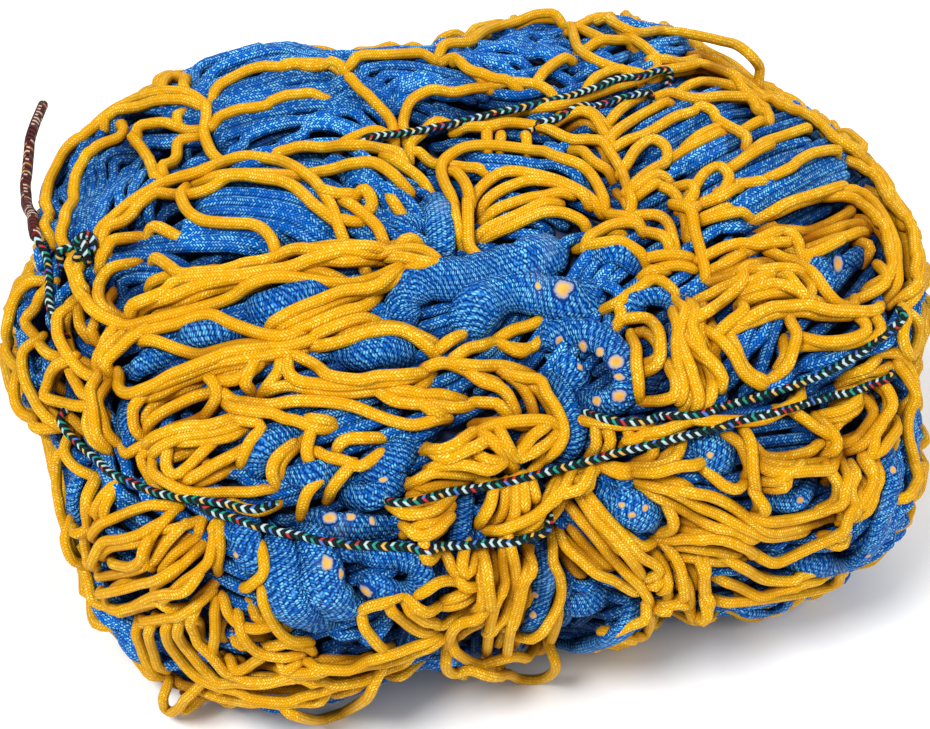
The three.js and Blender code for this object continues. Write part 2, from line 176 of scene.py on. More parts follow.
class Finish:
    """A material under construction, with short ways to add and join its nodes."""

    def __init__(self, name):
        self.material = bpy.data.materials.new(name)
        self.material.use_nodes = True
        self.tree = self.material.node_tree
        self.shader = self.tree.nodes["Principled BSDF"]

    def node(self, kind, **values):
        made = self.tree.nodes.new(kind)
        for key, value in values.items():
            setattr(made, key, value)
        return made

    def put(self, socket, value):
        if isinstance(value, bpy.types.NodeSocket):
            self.tree.links.new(value, socket)
        else:
            socket.default_value = value

    def math(self, operation, *values):
        made = self.node("ShaderNodeMath", operation=operation)
        for socket, value in zip(made.inputs, values):
            self.put(socket, value)
        return made.outputs[0]

    def times(self, value, by):
        return self.math("MULTIPLY", value, by)

    def times_plus(self, value, by, plus):
        return self.math("MULTIPLY_ADD", value, by, plus)

    def whole(self, value):
        return self.math("FLOOR", value)

    def ridges(self, value):
        """Round ridges between 0 and 1, one for each whole step of value."""
        return self.math("ABSOLUTE", self.math("SINE", self.times(value, math.pi)))

    def mix(self, share, first, second):
        made = self.node("ShaderNodeMix", data_type="RGBA")
        self.put(made.inputs[0], share)
        self.put(made.inputs[FIRST_COLOUR], first)
        self.put(made.inputs[SECOND_COLOUR], second)
        return made.outputs[MIXED_COLOUR]

    def along_and_column(self):
        """Millimetres along the cord, and the braid's columns counted round it."""
        made = self.node("ShaderNodeUVMap", uv_map="cord_map")
        split = self.node("ShaderNodeSeparateXYZ")
        self.put(split.inputs[0], made.outputs[0])
        return split.outputs[0], split.outputs[1]

    def attribute(self, name):
        return self.node("ShaderNodeAttribute", attribute_name=name).outputs["Fac"]

    def pattern(self, kind, **values):
        """A pattern in the piece's own place, from a texture node's values."""
        made = self.node(kind)
        self.put(made.inputs["Vector"], self.node("ShaderNodeTexCoord").outputs["Object"])
        for key, value in values.items():
            self.put(made.inputs[key], value)
        return made

    def noise(self, grain):
        return self.pattern("ShaderNodeTexNoise", Scale=grain, Detail=2.0).outputs["Fac"]

    def ramp(self, value, low, high):
        made = self.node("ShaderNodeMapRange", clamp=True)
        for socket, entry in zip(made.inputs, (value, low, high)):
            self.put(socket, entry)
        return made.outputs[0]

    def bump(self, height, strength, distance):
        made = self.node("ShaderNodeBump")
        self.put(made.inputs["Height"], height)
        self.put(made.inputs["Strength"], strength)
        self.put(made.inputs["Distance"], distance)
        self.put(self.shader.inputs["Normal"], made.outputs[0])

    def surface(self, colour, rough, gloss):
        self.put(self.shader.inputs["Base Color"], colour)
        self.put(self.shader.inputs["Roughness"], rough)
        self.shader.inputs["Specular IOR Level"].default_value = gloss

    def chance(self, *parts):
        """A number between 0 and 1 that stays the same for the same whole parts."""
        seed = self.node("ShaderNodeCombineXYZ")
        for socket, part in zip(seed.inputs, parts):
            self.put(socket, part)
        made = self.node("ShaderNodeTexWhiteNoise", noise_dimensions="3D")
        self.put(made.inputs["Vector"], seed.outputs[0])
        return made.outputs["Value"]

    def braid(self, stitch, lean):
        """Slanted stitches in columns that lean to and fro: their height, and a number for each."""
        far, column = self.along_and_column()
        slant = self.math("PINGPONG", column, 1.0)
        step = self.times_plus(slant, lean, self.math("DIVIDE", far, stitch))
        step = self.times_plus(self.whole(column), COLUMN_OFFSET, step)
        crown = self.times_plus(self.ridges(column), 1 - EDGE_HEIGHT, EDGE_HEIGHT)
        height = self.times(self.ridges(step), crown)
        tone = self.times(self.attribute("tone"), CORD_SHADES)
        own = self.chance(self.whole(step), self.whole(column), self.whole(tone))
        return height, own


# Grains of the noises, in spots to a metre
WEAR_AND_GLINT_GRAIN = 60.0
FIBRE_GRAIN = 1400.0
STRING_GRAIN = 900.0
CORE_GRAIN = 160.0
WRAP_GRAIN = 130.0
CREST_GRAIN = 420.0
RUBBED_GRAIN = 34.0
FLOOR_GRAIN = 3.0

# Cord: where the main colour and the glint come in on a stitch's height, and which stitches glint; below
# the main colour the deep one is painted shade between the stitches, and the glint is a painted highlight
MAIN_FROM_TO = (0.0, 0.6)
GLINT_FROM_TO = (0.35, 0.95)
GLINT_CHANCE = (0.25, 1.0)
TONE_GLINT = 0.4
PATCHY_GLINT = 0.7
DULL_FROM_TO = (0.62, 0.42)
DULL_SHARE = 0.25
FIBRE_RELIEF = 0.25
CORD_BUMP = 0.5 * MM
FIBRE_ROUGH = 0.3
CORD_ROUGH = 0.4

# Shadow low between the cords: the depths, in millimetres, where it starts and is full
SHADOW_FROM_TO = (3.0, 12.0)
SHADOW_SHARE = 0.8

# The border rope's wrapping: how its turns lean and sway, the painted shade in its grooves and the painted
# highlights on its crests
WRAP_LEAN = 0.4
WRAP_SWAY = 2.2
WRAP_RELIEF = 2.0
GROOVE_FROM_TO = (0.6, 0.1)
GROOVE_SHARE = 0.7
CREST_FROM_TO = (0.75, 1.0)
CREST_PATCHES = (0.42, 0.62)
CREST_SHARE = 0.36
RUBBED_FROM_TO = (0.60, 0.74)
RUBBED_BLUE = (0.23, 0.33, 0.52, 1)


def cord_finish(
    name, deep, main, glint, shadow, stitch, lean, relief, sparkle, gloss, worn_share=0.0, wrap=0.0
):
    """Braided cord: deep between its stitches as painted shade, main on them, a painted glint on some, and
    a painted shadow low between the cords.

    Wrap is the width of a turn of the border rope's wrapping, with painted shade in its grooves and painted
    highlights on its crests, and worn_share how far that is rubbed pale.
    """
    made = Finish(name)
    braid, own = made.braid(stitch, lean)
    # A low noise for patchy dull wear and for how strongly the painted glints show
    wear_and_glint = made.noise(WEAR_AND_GLINT_GRAIN)
    fibre = made.noise(FIBRE_GRAIN)
    # Painted shade: the deep colour between the stitches, the main colour on their crowns
    shade = made.mix(made.ramp(braid, *MAIN_FROM_TO), deep, main)
    # Painted highlights: glints on the crowns of some stitches, stronger in patches
    catch = made.times(made.ramp(braid, *GLINT_FROM_TO), made.ramp(own, *GLINT_CHANCE))
    lively = made.times_plus(made.attribute("tone"), TONE_GLINT, made.times(wear_and_glint, PATCHY_GLINT))
    colour = made.mix(made.times(catch, made.times(lively, sparkle)), shade, glint)
    dull = made.times(made.ramp(wear_and_glint, *DULL_FROM_TO), DULL_SHARE)
    colour = made.mix(dull, colour, deep)
    height = made.times_plus(fibre, FIBRE_RELIEF, braid)
    if wrap:
        far, column = made.along_and_column()
        turns = made.times_plus(column, WRAP_LEAN, made.math("DIVIDE", far, wrap))
        turns = made.times_plus(made.noise(WRAP_GRAIN), WRAP_SWAY, turns)
        ridge = made.ridges(turns)
        # Painted shade in the grooves between the wrapping's turns
        groove = made.times(made.ramp(ridge, *GROOVE_FROM_TO), GROOVE_SHARE)
        colour = made.mix(groove, colour, deep)
        # Painted highlights on the wrapping's crests, in patches
        patches = made.ramp(made.noise(CREST_GRAIN), *CREST_PATCHES)
        crest = made.times(made.ramp(ridge, *CREST_FROM_TO), patches)
        colour = made.mix(made.times(crest, CREST_SHARE), colour, glint)
        height = made.times_plus(ridge, WRAP_RELIEF, height)
    if worn_share:
        rubbed = made.times(made.ramp(made.noise(RUBBED_GRAIN), *RUBBED_FROM_TO), worn_share)
        colour = made.mix(rubbed, colour, RUBBED_BLUE)
    # Painted shadow low between the cords, by how deep a point lies under the outermost cords
    low = made.times(made.ramp(made.attribute("depth"), *SHADOW_FROM_TO), SHADOW_SHARE)
    rough = made.times_plus(fibre, FIBRE_ROUGH, CORD_ROUGH)
    made.surface(made.mix(low, colour, shadow), rough, gloss)
    made.bump(height, relief, CORD_BUMP)
    return made.material


# In each cord finish, deep is painted shade between the stitches, glint a painted highlight, and shadow
# painted shade low between the cords
yellow_finish = cord_finish(
    "yellow_braided_cord",
    deep=(0.52, 0.19, 0.0012, 1),
    main=(0.705, 0.385, 0.003, 1),
    glint=(0.98, 0.84, 0.17, 1),
    shadow=(0.20, 0.042, 0.0008, 1),
    stitch=1.2,
    lean=0.8,
    relief=0.45,
    sparkle=1.3,
    gloss=0.06,
)
blue_finish = cord_finish(
    "blue_braided_cord",
    deep=(0.0004, 0.012, 0.12, 1),
    main=(0.0012, 0.155, 0.66, 1),
    glint=(0.25, 0.73, 1.0, 1),
    shadow=(0.0003, 0.003, 0.03, 1),
    stitch=1.3,
    lean=0.8,
    relief=0.7,
    sparkle=3.0,
    gloss=0.08,
)
border_finish = cord_finish(
    "blue_wrapped_border_rope",
    deep=(0.0004, 0.012, 0.12, 1),
    main=(0.0012, 0.15, 0.63, 1),
    glint=(0.20, 0.67, 1.0, 1),
    shadow=(0.0003, 0.003, 0.03, 1),
    stitch=0.95,
    lean=0.5,
    relief=0.9,
    sparkle=3.0,
    gloss=0.08,
    worn_share=0.55,
    wrap=2.3,
)


# The rope's bare core: its colours, and the tones from its rim inward where each comes in
FRAYED_BLUE = (0.002, 0.03, 0.18, 1)
FRAYED_GREY = (0.30, 0.30, 0.34, 1)
WARM_DEEP = (0.60, 0.27, 0.030, 1)
WARM_PALE = (0.74, 0.41, 0.085, 1)
GREY_FROM_TO = (0.12, 0.3)
WARM_FROM_TO = (0.34, 0.6)
PALE_FROM_TO = (0.35, 0.7)
FRAY = 0.45
CORE_ROUGH = 0.55
CORE_GLOSS = 0.1
CORE_RELIEF = 0.5
CORE_BUMP = 0.6 * MM


def core_finish():
    """The rope's pale core: warm in the middle, greyer where the wrapping's edge frays over it."""
    made = Finish("pale_rope_core")
    fibre = made.noise(STRING_GRAIN)
    inward = made.times_plus(made.math("SUBTRACT", fibre, 0.5), FRAY, made.attribute("tone"))
    frayed = made.mix(made.ramp(inward, *GREY_FROM_TO), FRAYED_BLUE, FRAYED_GREY)
    warm = made.mix(made.ramp(made.noise(CORE_GRAIN), *PALE_FROM_TO), WARM_DEEP, WARM_PALE)
    colour = made.mix(made.ramp(inward, *WARM_FROM_TO), frayed, warm)
    made.surface(colour, made.times_plus(fibre, FIBRE_ROUGH, CORE_ROUGH), CORE_GLOSS)
    made.bump(fibre, CORE_RELIEF, CORE_BUMP)
    return made.material


core_spot_finish = core_finish()

# The tie's string: painted shade, near black, in the groove at the edge of each stitch, and how far it
# reaches in
STITCH_GROOVE_SHADE = (0.003, 0.004, 0.005, 1)
EDGE_FROM_TO = (0.0, 0.2)
STRING_ROUGH = 0.5
STRING_GLOSS = 0.12
STRING_RELIEF = 0.8
STRING_SEED = 3.0


def tie_finish(name, stitch, dark, lights):
    """Herringbone string: dark stitches by turns with the lights, each with the share where it starts."""
    made = Finish(name)
    far, column = made.along_and_column()
    slant = made.math("PINGPONG", column, 1.0)
    step = made.math("ADD", slant, made.math("DIVIDE", far, stitch))
    row = made.whole(step)
    pick = made.node("ShaderNodeValToRGB")
    pick.color_ramp.interpolation = "CONSTANT"
    stops = pick.color_ramp.elements
    stops.remove(stops[1])
    stops[0].color = lights[0][1]
    for position, colour in lights[1:]:
        stops.new(position).color = colour
    made.put(pick.inputs[0], made.chance(row, made.whole(column), STRING_SEED))
    by_turns = made.math("GREATER_THAN", made.math("FRACT", made.times(row, 0.5)), 0.25)
    colour = made.mix(by_turns, dark, pick.outputs[0])
    edge = made.ramp(made.math("PINGPONG", made.math("FRACT", step), 0.5), *EDGE_FROM_TO)
    rough = made.times_plus(made.noise(STRING_GRAIN), FIBRE_ROUGH, STRING_ROUGH)
    # Painted shade darkens each stitch towards its edges, where the grooves between the stitches lie
    made.surface(made.mix(edge, STITCH_GROOVE_SHADE, colour), rough, STRING_GLOSS)
    made.bump(edge, STRING_RELIEF, CORD_BUMP)
    return made.material


string_finish = tie_finish(
    "many_coloured_string",
    1.6,
    (0.004, 0.009, 0.011, 1),
    (
        (0.0, (0.006, 0.045, 0.045, 1)),
        (0.14, (0.40, 0.56, 0.56, 1)),
        (0.42, (0.015, 0.25, 0.19, 1)),
        (0.62, (0.38, 0.03, 0.03, 1)),
        (0.78, (0.58, 0.36, 0.08, 1)),
        (0.90, (0.06, 0.16, 0.50, 1)),
    ),
)
tail_finish = tie_finish(
    "dark_red_string",
    1.9,
    (0.15, 0.008, 0.008, 1),
    (
        (0.0, (0.008, 0.006, 0.006, 1)),
        (0.36, (0.58, 0.50, 0.36, 1)),
        (0.74, (0.05, 0.004, 0.004, 1)),
        (0.86, (0.45, 0.25, 0.05, 1)),
        (0.93, (0.02, 0.10, 0.10, 1)),
    ),
)


# The dark inside: its colours, and its strands
INNER_BLACK = (0.0015, 0.004, 0.014, 1)
INNER_BLUE = (0.003, 0.018, 0.085, 1)
INNER_ROUGH = 0.6
STRAND_ROUGH = 0.2
INNER_GLOSS = 0.5
INNER_RELIEF = 0.9
INNER_BUMP = 2 * MM


def inner_finish():
    """Cords deep in the bundle, in their own shadow."""
    made = Finish("inner_cords")
    wave = made.pattern("ShaderNodeTexWave", Scale=60.0, Distortion=5.0)
    wave.bands_direction = "DIAGONAL"
    strand = wave.outputs["Fac"]
    rough = made.times_plus(strand, STRAND_ROUGH, INNER_ROUGH)
    made.surface(made.mix(strand, INNER_BLACK, INNER_BLUE), rough, INNER_GLOSS)
    made.bump(strand, INNER_RELIEF, INNER_BUMP)
    return made.material


def from_end(line):
    """How many steps each place of a line is from its nearer end."""
    steps = np.arange(len(line))
    return np.minimum(steps, steps[::-1])


def smooth(values, reach):
    """Evens out values along a run, reach samples wide."""
    span = max(1, int(reach * 3))
    weights = np.exp(-0.5 * (np.arange(-span, span + 1) / reach) ** 2)
    weights /= weights.sum()
    flat = values.reshape(len(values), -1)
    padded = np.concatenate((np.repeat(flat[:1], span, 0), flat, np.repeat(flat[-1:], span, 0)))
    made = [np.convolve(padded[:, k], weights, "valid") for k in range(flat.shape[1])]
    return np.stack(made, -1).reshape(values.shape)


def evened(line, step):
    """The same line in even steps."""
    gaps = np.linalg.norm(np.diff(line[:, :3], axis=0), axis=1)
    far = np.concatenate(((0,), np.cumsum(gaps)))
    count = max(4, int(round(far[-1] / step)) + 1)
    at = np.linspace(0, far[-1], count)
    return np.stack([np.interp(at, far, line[:, k]) for k in range(line.shape[1])], -1)


def spline(points, step):
    """A smooth line through the points, in even steps."""
    points = np.asarray(points, float)
    ends = np.vstack((2 * points[0] - points[1], points, 2 * points[-1] - points[-2]))
    parts = []
    for a, b, c, d in zip(ends, ends[1:], ends[2:], ends[3:]):
        count = max(2, int(np.linalg.norm(c - b) / step) + 1)
        t = np.linspace(0, 1, count, endpoint=False)[:, None]
        bend = (2 * a - 5 * b + 4 * c - d) * t**2 + (3 * b - a - 3 * c + d) * t**3
        parts.append(0.5 * (2 * b + (c - a) * t + bend))
    parts.append(points[-1:])
    return evened(np.concatenate(parts), step)


# The domes of the rope's bare core: rings as shares of the width with their heights, and an uneven rim
DOME_SIDES = 16
DOME_RISE = 0.35
DOME_RINGS = ((0.3, 0.33), (0.55, 0.25), (0.75, 0.12), (0.9, -0.05), (1.0, -0.4), (1.05, -1.2))
DOME_LOBES = np.arange(2, 5)
DOME_UNEVEN = 0.09
DOME_TURN = 6

# A cord's ends: the share of its thickness left there, and how far the tip stands out, in half thicknesses
END_SHARE = 0.72
TIP_REACH = 0.5

# Where a cord runs nearly straight outward, its side is taken from this direction instead
LEAST_SIDE = 0.15
SPARE_WAY = (0.31, 0.17, 0.93)


class Bunch:
    """Cords gathered into one piece: points, faces, a map along and round them, and a tone for each cord.

    Column is the width of the braid's columns, and lead turns them round the cord.
    """

    def __init__(self, name, column, lead=0.0):
        self.name = name
        self.column = column
        self.lead = lead
        self.points = []
        self.quads = []
        self.tris = []
        self.quad_map = []
        self.tri_map = []
        self.tones = []
        self.count = 0

    def tube(self, line, half, tone, sides, flat=1.0, swell=None, outward=None):
        """A cord along a line: half its width, and flat, the share of it that its height has."""
        n = len(line)
        along = unit(np.gradient(line, axis=0))
        out = unit(line - MIDDLE) if outward is None else outward
        side = np.cross(along, out)
        weak = np.linalg.norm(side, axis=1) < LEAST_SIDE
        side[weak] = np.cross(along[weak], SPARE_WAY)
        side = unit(smooth(unit(side), 1.0))
        rise = unit(np.cross(side, along))
        size = np.full(n, half) if swell is None else half * swell
        size[[0, -1]] *= END_SHARE
        turn = np.arange(sides) * 2 * math.pi / sides
        ring = (
            line[:, None]
            + side[:, None] * (np.cos(turn)[None, :, None] * size[:, None, None])
            + rise[:, None] * (np.sin(turn)[None, :, None] * size[:, None, None] * flat)
        )
        first = self.count
        tips = np.stack((line[0] - along[0] * half * TIP_REACH, line[-1] + along[-1] * half * TIP_REACH))
        self.points.append(np.concatenate((ring.reshape(-1, 3), tips)))
        i = np.arange(n - 1)[:, None] * sides + first
        j = np.arange(sides)[None]
        k = (j + 1) % sides
        self.quads.append(np.stack((i + j, i + sides + j, i + sides + k, i + k), -1).reshape(-1, 4))
        gaps = np.linalg.norm(np.diff(line, axis=0), axis=1)
        far = np.concatenate(((0,), np.cumsum(gaps)))
        u0, u1 = far[:-1, None] + 0 * j, far[1:, None] + 0 * j
        columns = 2 * max(1, round(math.pi * half * (1 + flat) / 2 / self.column))
        v0 = j * columns / sides - self.lead + columns + 0 * u0
        v1 = v0 + columns / sides
        corners = [np.stack(pair, -1) for pair in ((u0, v0), (u1, v0), (u1, v1), (u0, v1))]
        self.quad_map.append(np.stack(corners, 2).reshape(-1, 2))
        tip0 = first + n * sides
        last = first + (n - 1) * sides
        j, k = j[0], k[0]
        self.tris.append(np.stack((first + j, first + k, tip0 + 0 * j), -1))
        self.tris.append(np.stack((last + k, last + j, tip0 + 1 + 0 * j), -1))
        for u in (0.0, far[-1]):
            corner = np.stack((u + 0.0 * j, j * columns / sides), -1)
            self.tri_map.append(np.repeat(corner[:, None], 3, 1).reshape(-1, 2))
        self.tones.append(np.full(n * sides + 2, tone))
        self.count += n * sides + 2

    def dome(self, middle, out, lean, wide, high, draws):
        """A low uneven dome set into a surface, by half its width and height; its rim has a tone of 0."""
        side = np.cross(lean, out)
        turn = np.arange(DOME_SIDES) * 2 * math.pi / DOME_SIDES
        lobes = draws.uniform(-DOME_UNEVEN, DOME_UNEVEN, len(DOME_LOBES))[:, None]
        lobes = lobes * np.cos(DOME_LOBES[:, None] * turn + draws.uniform(0, DOME_TURN))
        blunt = 1 + lobes.sum(0)
        points, tones, plan = [middle + out * DOME_RISE], [1.0], [(0.0, 0.0)]
        for share, rise in DOME_RINGS:
            x, y = np.cos(turn) * blunt * share * wide, np.sin(turn) * blunt * share * high
            points += list(middle + np.outer(x, side) + np.outer(y, lean) + out * rise)
            tones += [max(0.0, 1 - share)] * DOME_SIDES
            plan += list(zip(y, x / self.column))
        plan = np.array(plan)
        j = np.arange(DOME_SIDES)
        k = (j + 1) % DOME_SIDES
        tris = np.stack((0 * j, 1 + j, 1 + k), -1)
        rows = 1 + np.arange(len(DOME_RINGS) - 1)[:, None] * DOME_SIDES
        below = rows + DOME_SIDES
        quads = np.stack((rows + j, below + j, below + k, rows + k), -1).reshape(-1, 4)
        self.points.append(np.array(points))
        self.tris.append(tris + self.count)
        self.quads.append(quads + self.count)
        self.tri_map.append(plan[tris].reshape(-1, 2))
        self.quad_map.append(plan[quads].reshape(-1, 2))
        self.tones.append(np.array(tones))
        self.count += len(points)

    def made(self, finish, depth_of=None):
        """The piece itself, as one mesh; depth_of gives how deep a point lies between the cords."""
        mesh = bpy.data.meshes.new(self.name)
        points = np.concatenate(self.points) * MM
        quads = np.concatenate(self.quads)
        tris = np.concatenate(self.tris)
        mesh.vertices.add(len(points))
        mesh.vertices.foreach_set("co", points.astype(np.float32).ravel())
        mesh.loops.add(quads.size + tris.size)
        corners = np.concatenate((quads.ravel(), tris.ravel()))
        mesh.loops.foreach_set("vertex_index", corners.astype(np.int32))
        mesh.polygons.add(len(quads) + len(tris))
        starts = np.concatenate((np.arange(len(quads)) * 4, quads.size + np.arange(len(tris)) * 3))
        mesh.polygons.foreach_set("loop_start", starts.astype(np.int32))
        mesh.update(calc_edges=True)
        mesh.validate()
        around = mesh.uv_layers.new(name="cord_map")
        pairs = np.concatenate(self.quad_map + self.tri_map)
        around.data.foreach_set("uv", pairs.astype(np.float32).ravel())
        tone = mesh.attributes.new("tone", "FLOAT", "POINT")
        tone.data.foreach_set("value", np.concatenate(self.tones).astype(np.float32))
        if depth_of is not None:
            depth = mesh.attributes.new("depth", "FLOAT", "POINT")
            depth.data.foreach_set("value", depth_of(points * PER_METRE).astype(np.float32))
        mesh.polygons.foreach_set("use_smooth", np.ones(len(mesh.polygons), bool))
        piece = bpy.data.objects.new(self.name, mesh)
        bpy.context.scene.collection.objects.link(piece)
        mesh.materials.append(finish)
        return piece


# The tie's free tail, along its route over the left shoulder
TAIL_ROUTE = (
    (-172.5, -10.5, 174.5), (-174, 0, 172), (-175, 10, 169), (-176, 18, 166), (-178, 27, 162),
    (-180, 38, 158), (-181, 49, 155), (-182, 60, 153), (-182, 71, 151), (-182, 82, 150),
    (-182, 93, 149), (-182, 104, 148), (-181, 115, 147), (-180, 126, 145), (-179, 136, 143),
    (-178, 146, 141),
)
ROUTE_SHIFT = MIDDLE * (1, 1, 0)
TAIL_STEP = 1.5
TAIL_SIDES = 12

# The tone of a cord that is alone in its colour
EVEN_TONE = 0.5

tail_foot = np.array(TAIL_ROUTE) + ROUTE_SHIFT
tail_line = spline(tail_foot + unit(tail_foot - MIDDLE) * TAIL_STRING / 2, TAIL_STEP)
tail_bunch = Bunch("tie_tail_string", TAIL_COLUMN, TIE_LEAD)
tail_bunch.tube(tail_line, TAIL_STRING / 2, EVEN_TONE, TAIL_SIDES)
tie_tail_string = tail_bunch.made(tail_finish)

# Yellow cords as the camera sees them, each a run of places in dots right and down, lowest layers first.
# They are grouped by the part of the bundle that they lie on.
YELLOW_UPPER_LEFT = (
    "47,240 44,222 45,206 47,190 51,178 57,166 65,150 80,136 100,120 117,108 140,97 165,91 190,93"
    " 203,100",
    "100,131 112,122 130,110 150,102 175,99 198,103",
    "148,92 165,80 177,71 183,79 180,89",
    "62,250 61,233 64,208 68,188 73,171 83,156 100,145 120,138 127,132 119,124 112,117",
    "122,130 133,138 143,150 151,164 156,178 165,185",
    "122,133 135,127 150,124 165,124 180,128 192,131 203,121",
    "172,101 172,113 173,124",
    "191,128 187,142 181,153 172,163 167,173 168,181",
    "270,67 290,63 315,63 338,66 344,70",
    "198,94 213,89 226,81 240,74 260,67 281,62 300,58 320,57 335,58 345,64",
    "192,92 203,102 207,115 205,130 207,142 213,155 220,164",
    "205,122 226,113 259,102 281,95 306,88 319,88",
    "343,60 363,56 400,54 436,56",
    "341,64 352,78 366,93 379,107 389,118 394,131 393,142",
    "561,100 557,97 547,90 537,84 525,83 510,82 496,85 476,90 443,98 423,105 409,112 404,121 404,132"
    " 405,142",
    "645,82 630,83 616,87 600,93 580,100 560,105 540,108 520,112 498,117 476,122 451,128 426,134"
    " 412,142 408,152",
    "330,148 345,141 358,136 372,131 386,130 393,135",
    "268,157 284,157 306,154 326,148 343,145 359,145 384,150 399,153 408,160",
    "185,186 205,180 225,175 256,174 281,175 300,176 313,173 333,170 349,164 368,162 381,166 393,174"
    " 405,184",
    "380,156 400,164 417,176 428,187",
    "407,143 418,151 428,161 440,168 455,166 476,170 490,176",
    "88,252 100,233 112,219 125,207 140,196 157,187 178,178 200,171 226,161 246,156 266,159 281,161"
    " 293,166 304,173 316,183 326,197 334,212 339,228 341,243",
    "98,254 115,236 130,223 147,211 162,203 177,197 200,192 226,182 246,178 266,179 281,181 293,186"
    " 303,194 313,204 322,211 332,221",
    "179,186 182,200 188,211 199,219 213,222 232,223 251,224 264,230 273,241 276,254 280,264",
    "90,266 106,251 120,242 132,234 136,242",
    "139,237 150,228 161,228 171,235",
    "313,183 325,190 340,195 355,192 366,188",
    "340,213 345,218 355,219 363,215",
    "350,192 362,188 370,196 372,207 362,212 350,210",
    "338,196 352,205 366,216 378,228 383,242 385,254",
    "386,192 393,201 399,210",
    "392,247 402,241 413,238 420,243",
)
YELLOW_LEFT = (
    "50,277 33,280 22,288 13,303 7,326 5,350 7,375 13,396 23,416 37,428 50,433",
    "46,282 42,288 38,303 35,326 38,341 45,351 57,355",
    "32,336 25,346 22,360 25,380 32,395 40,410 50,421 62,433",
    "67,296 66,320 68,340 73,356 83,366",
    "57,303 55,320 58,336 65,351 72,360 80,370 93,376 107,380",
    "127,261 108,270 100,281 98,296 103,308 113,318",
    "143,321 163,311 183,301 205,293 230,286 256,279 281,274 306,271 329,275 343,278",
    "130,320 147,306 167,298 187,290 208,283 230,278 259,274 283,269 303,264 326,260 349,261 368,263",
    "123,316 133,305 150,295 170,285 190,278 210,275 230,273 259,270 283,266 303,258 323,254 346,251"
    " 369,253 386,255",
    "145,260 155,258 167,265 177,273 190,271 208,270 226,267 251,263 274,258 293,250 313,248 334,244"
    " 356,243 371,246 390,252",
    "403,271 418,266 440,263",
    "376,255 399,250 419,250 433,255 445,261",
    "384,263 406,258 426,260 441,263",
    "360,266 365,277",
    "73,255 73,273 78,290 88,305 100,315 113,321 127,326 142,323 160,318 180,313 200,308 226,300"
    " 251,288 281,281 309,280 334,283 356,283 376,278 393,270 403,261",
    "63,258 67,276 70,291",
    "328,336 346,330 368,323",
    "301,340 319,333 343,323 364,318 376,322",
    "268,341 293,331 316,323 343,313 366,306 378,299",
    "264,335 284,325 306,315 329,305 353,296 376,290 393,283 406,276",
    "261,330 279,318 299,308 319,300 343,291 368,288 381,283 393,271 398,263",
    "333,341 356,333 379,326 401,328 418,335 433,343 440,351",
    "306,351 326,345 346,340 368,333 386,330 403,331 416,338 428,348 436,356",
    "117,328 137,333 160,328 180,323 200,316 217,316 233,324 251,331 266,335 284,336 301,333",
    "130,341 150,340 167,345 180,350 200,355 220,350 243,345 266,346 289,346 306,341 319,336",
    "107,326 106,340 100,353 93,363 88,371",
    "116,330 112,345 106,360 100,372",
    "137,331 123,346 115,360 110,371 107,380",
    "142,425 150,410 167,396 183,390 200,383",
    "147,430 157,416 175,406 197,396 208,393",
    "140,401 160,393 180,383 200,375 217,370 233,366 250,363 270,358",
    "142,393 163,383 183,375 205,366 226,361 246,358 266,356 284,353 301,348",
    "110,371 120,390 133,393 147,386 163,376 180,370 200,363 226,354 246,350 266,347",
    "210,383 233,380 245,373 252,363",
    "200,380 213,383 217,396 210,410 202,418 195,427",
    "248,363 246,383 249,396",
    "273,358 278,371 273,380 263,391 254,398",
    "60,361 52,371 50,388 58,400 72,405 83,408",
    "80,408 87,425 93,441 100,456",
    "103,383 105,400 105,420 107,440 110,450",
    "90,376 90,393 93,410 95,430 98,450 103,461",
    "133,396 133,413 135,430 138,441",
    "108,450 123,455 138,448 150,443",
    "167,440 192,441 208,440 233,435 248,430",
    "143,456 163,445 183,436 203,431 225,428 250,423",
    "138,450 158,436 180,428 200,423 226,420 250,413",
    "197,466 213,466 223,460",
    "183,490 205,481 223,473 236,470",
    "180,483 200,473 217,463 233,455 242,448",
    "160,450 165,466 173,475 183,471 197,458 207,448",
    "143,460 153,473 167,483 182,490 200,493 226,492 248,492 270,493",
    "55,445 57,458 57,475 57,492 60,510 67,530 70,547 78,560 87,574 90,590 95,607 103,620",
    "62,433 63,448 70,463 83,473 93,483",
)
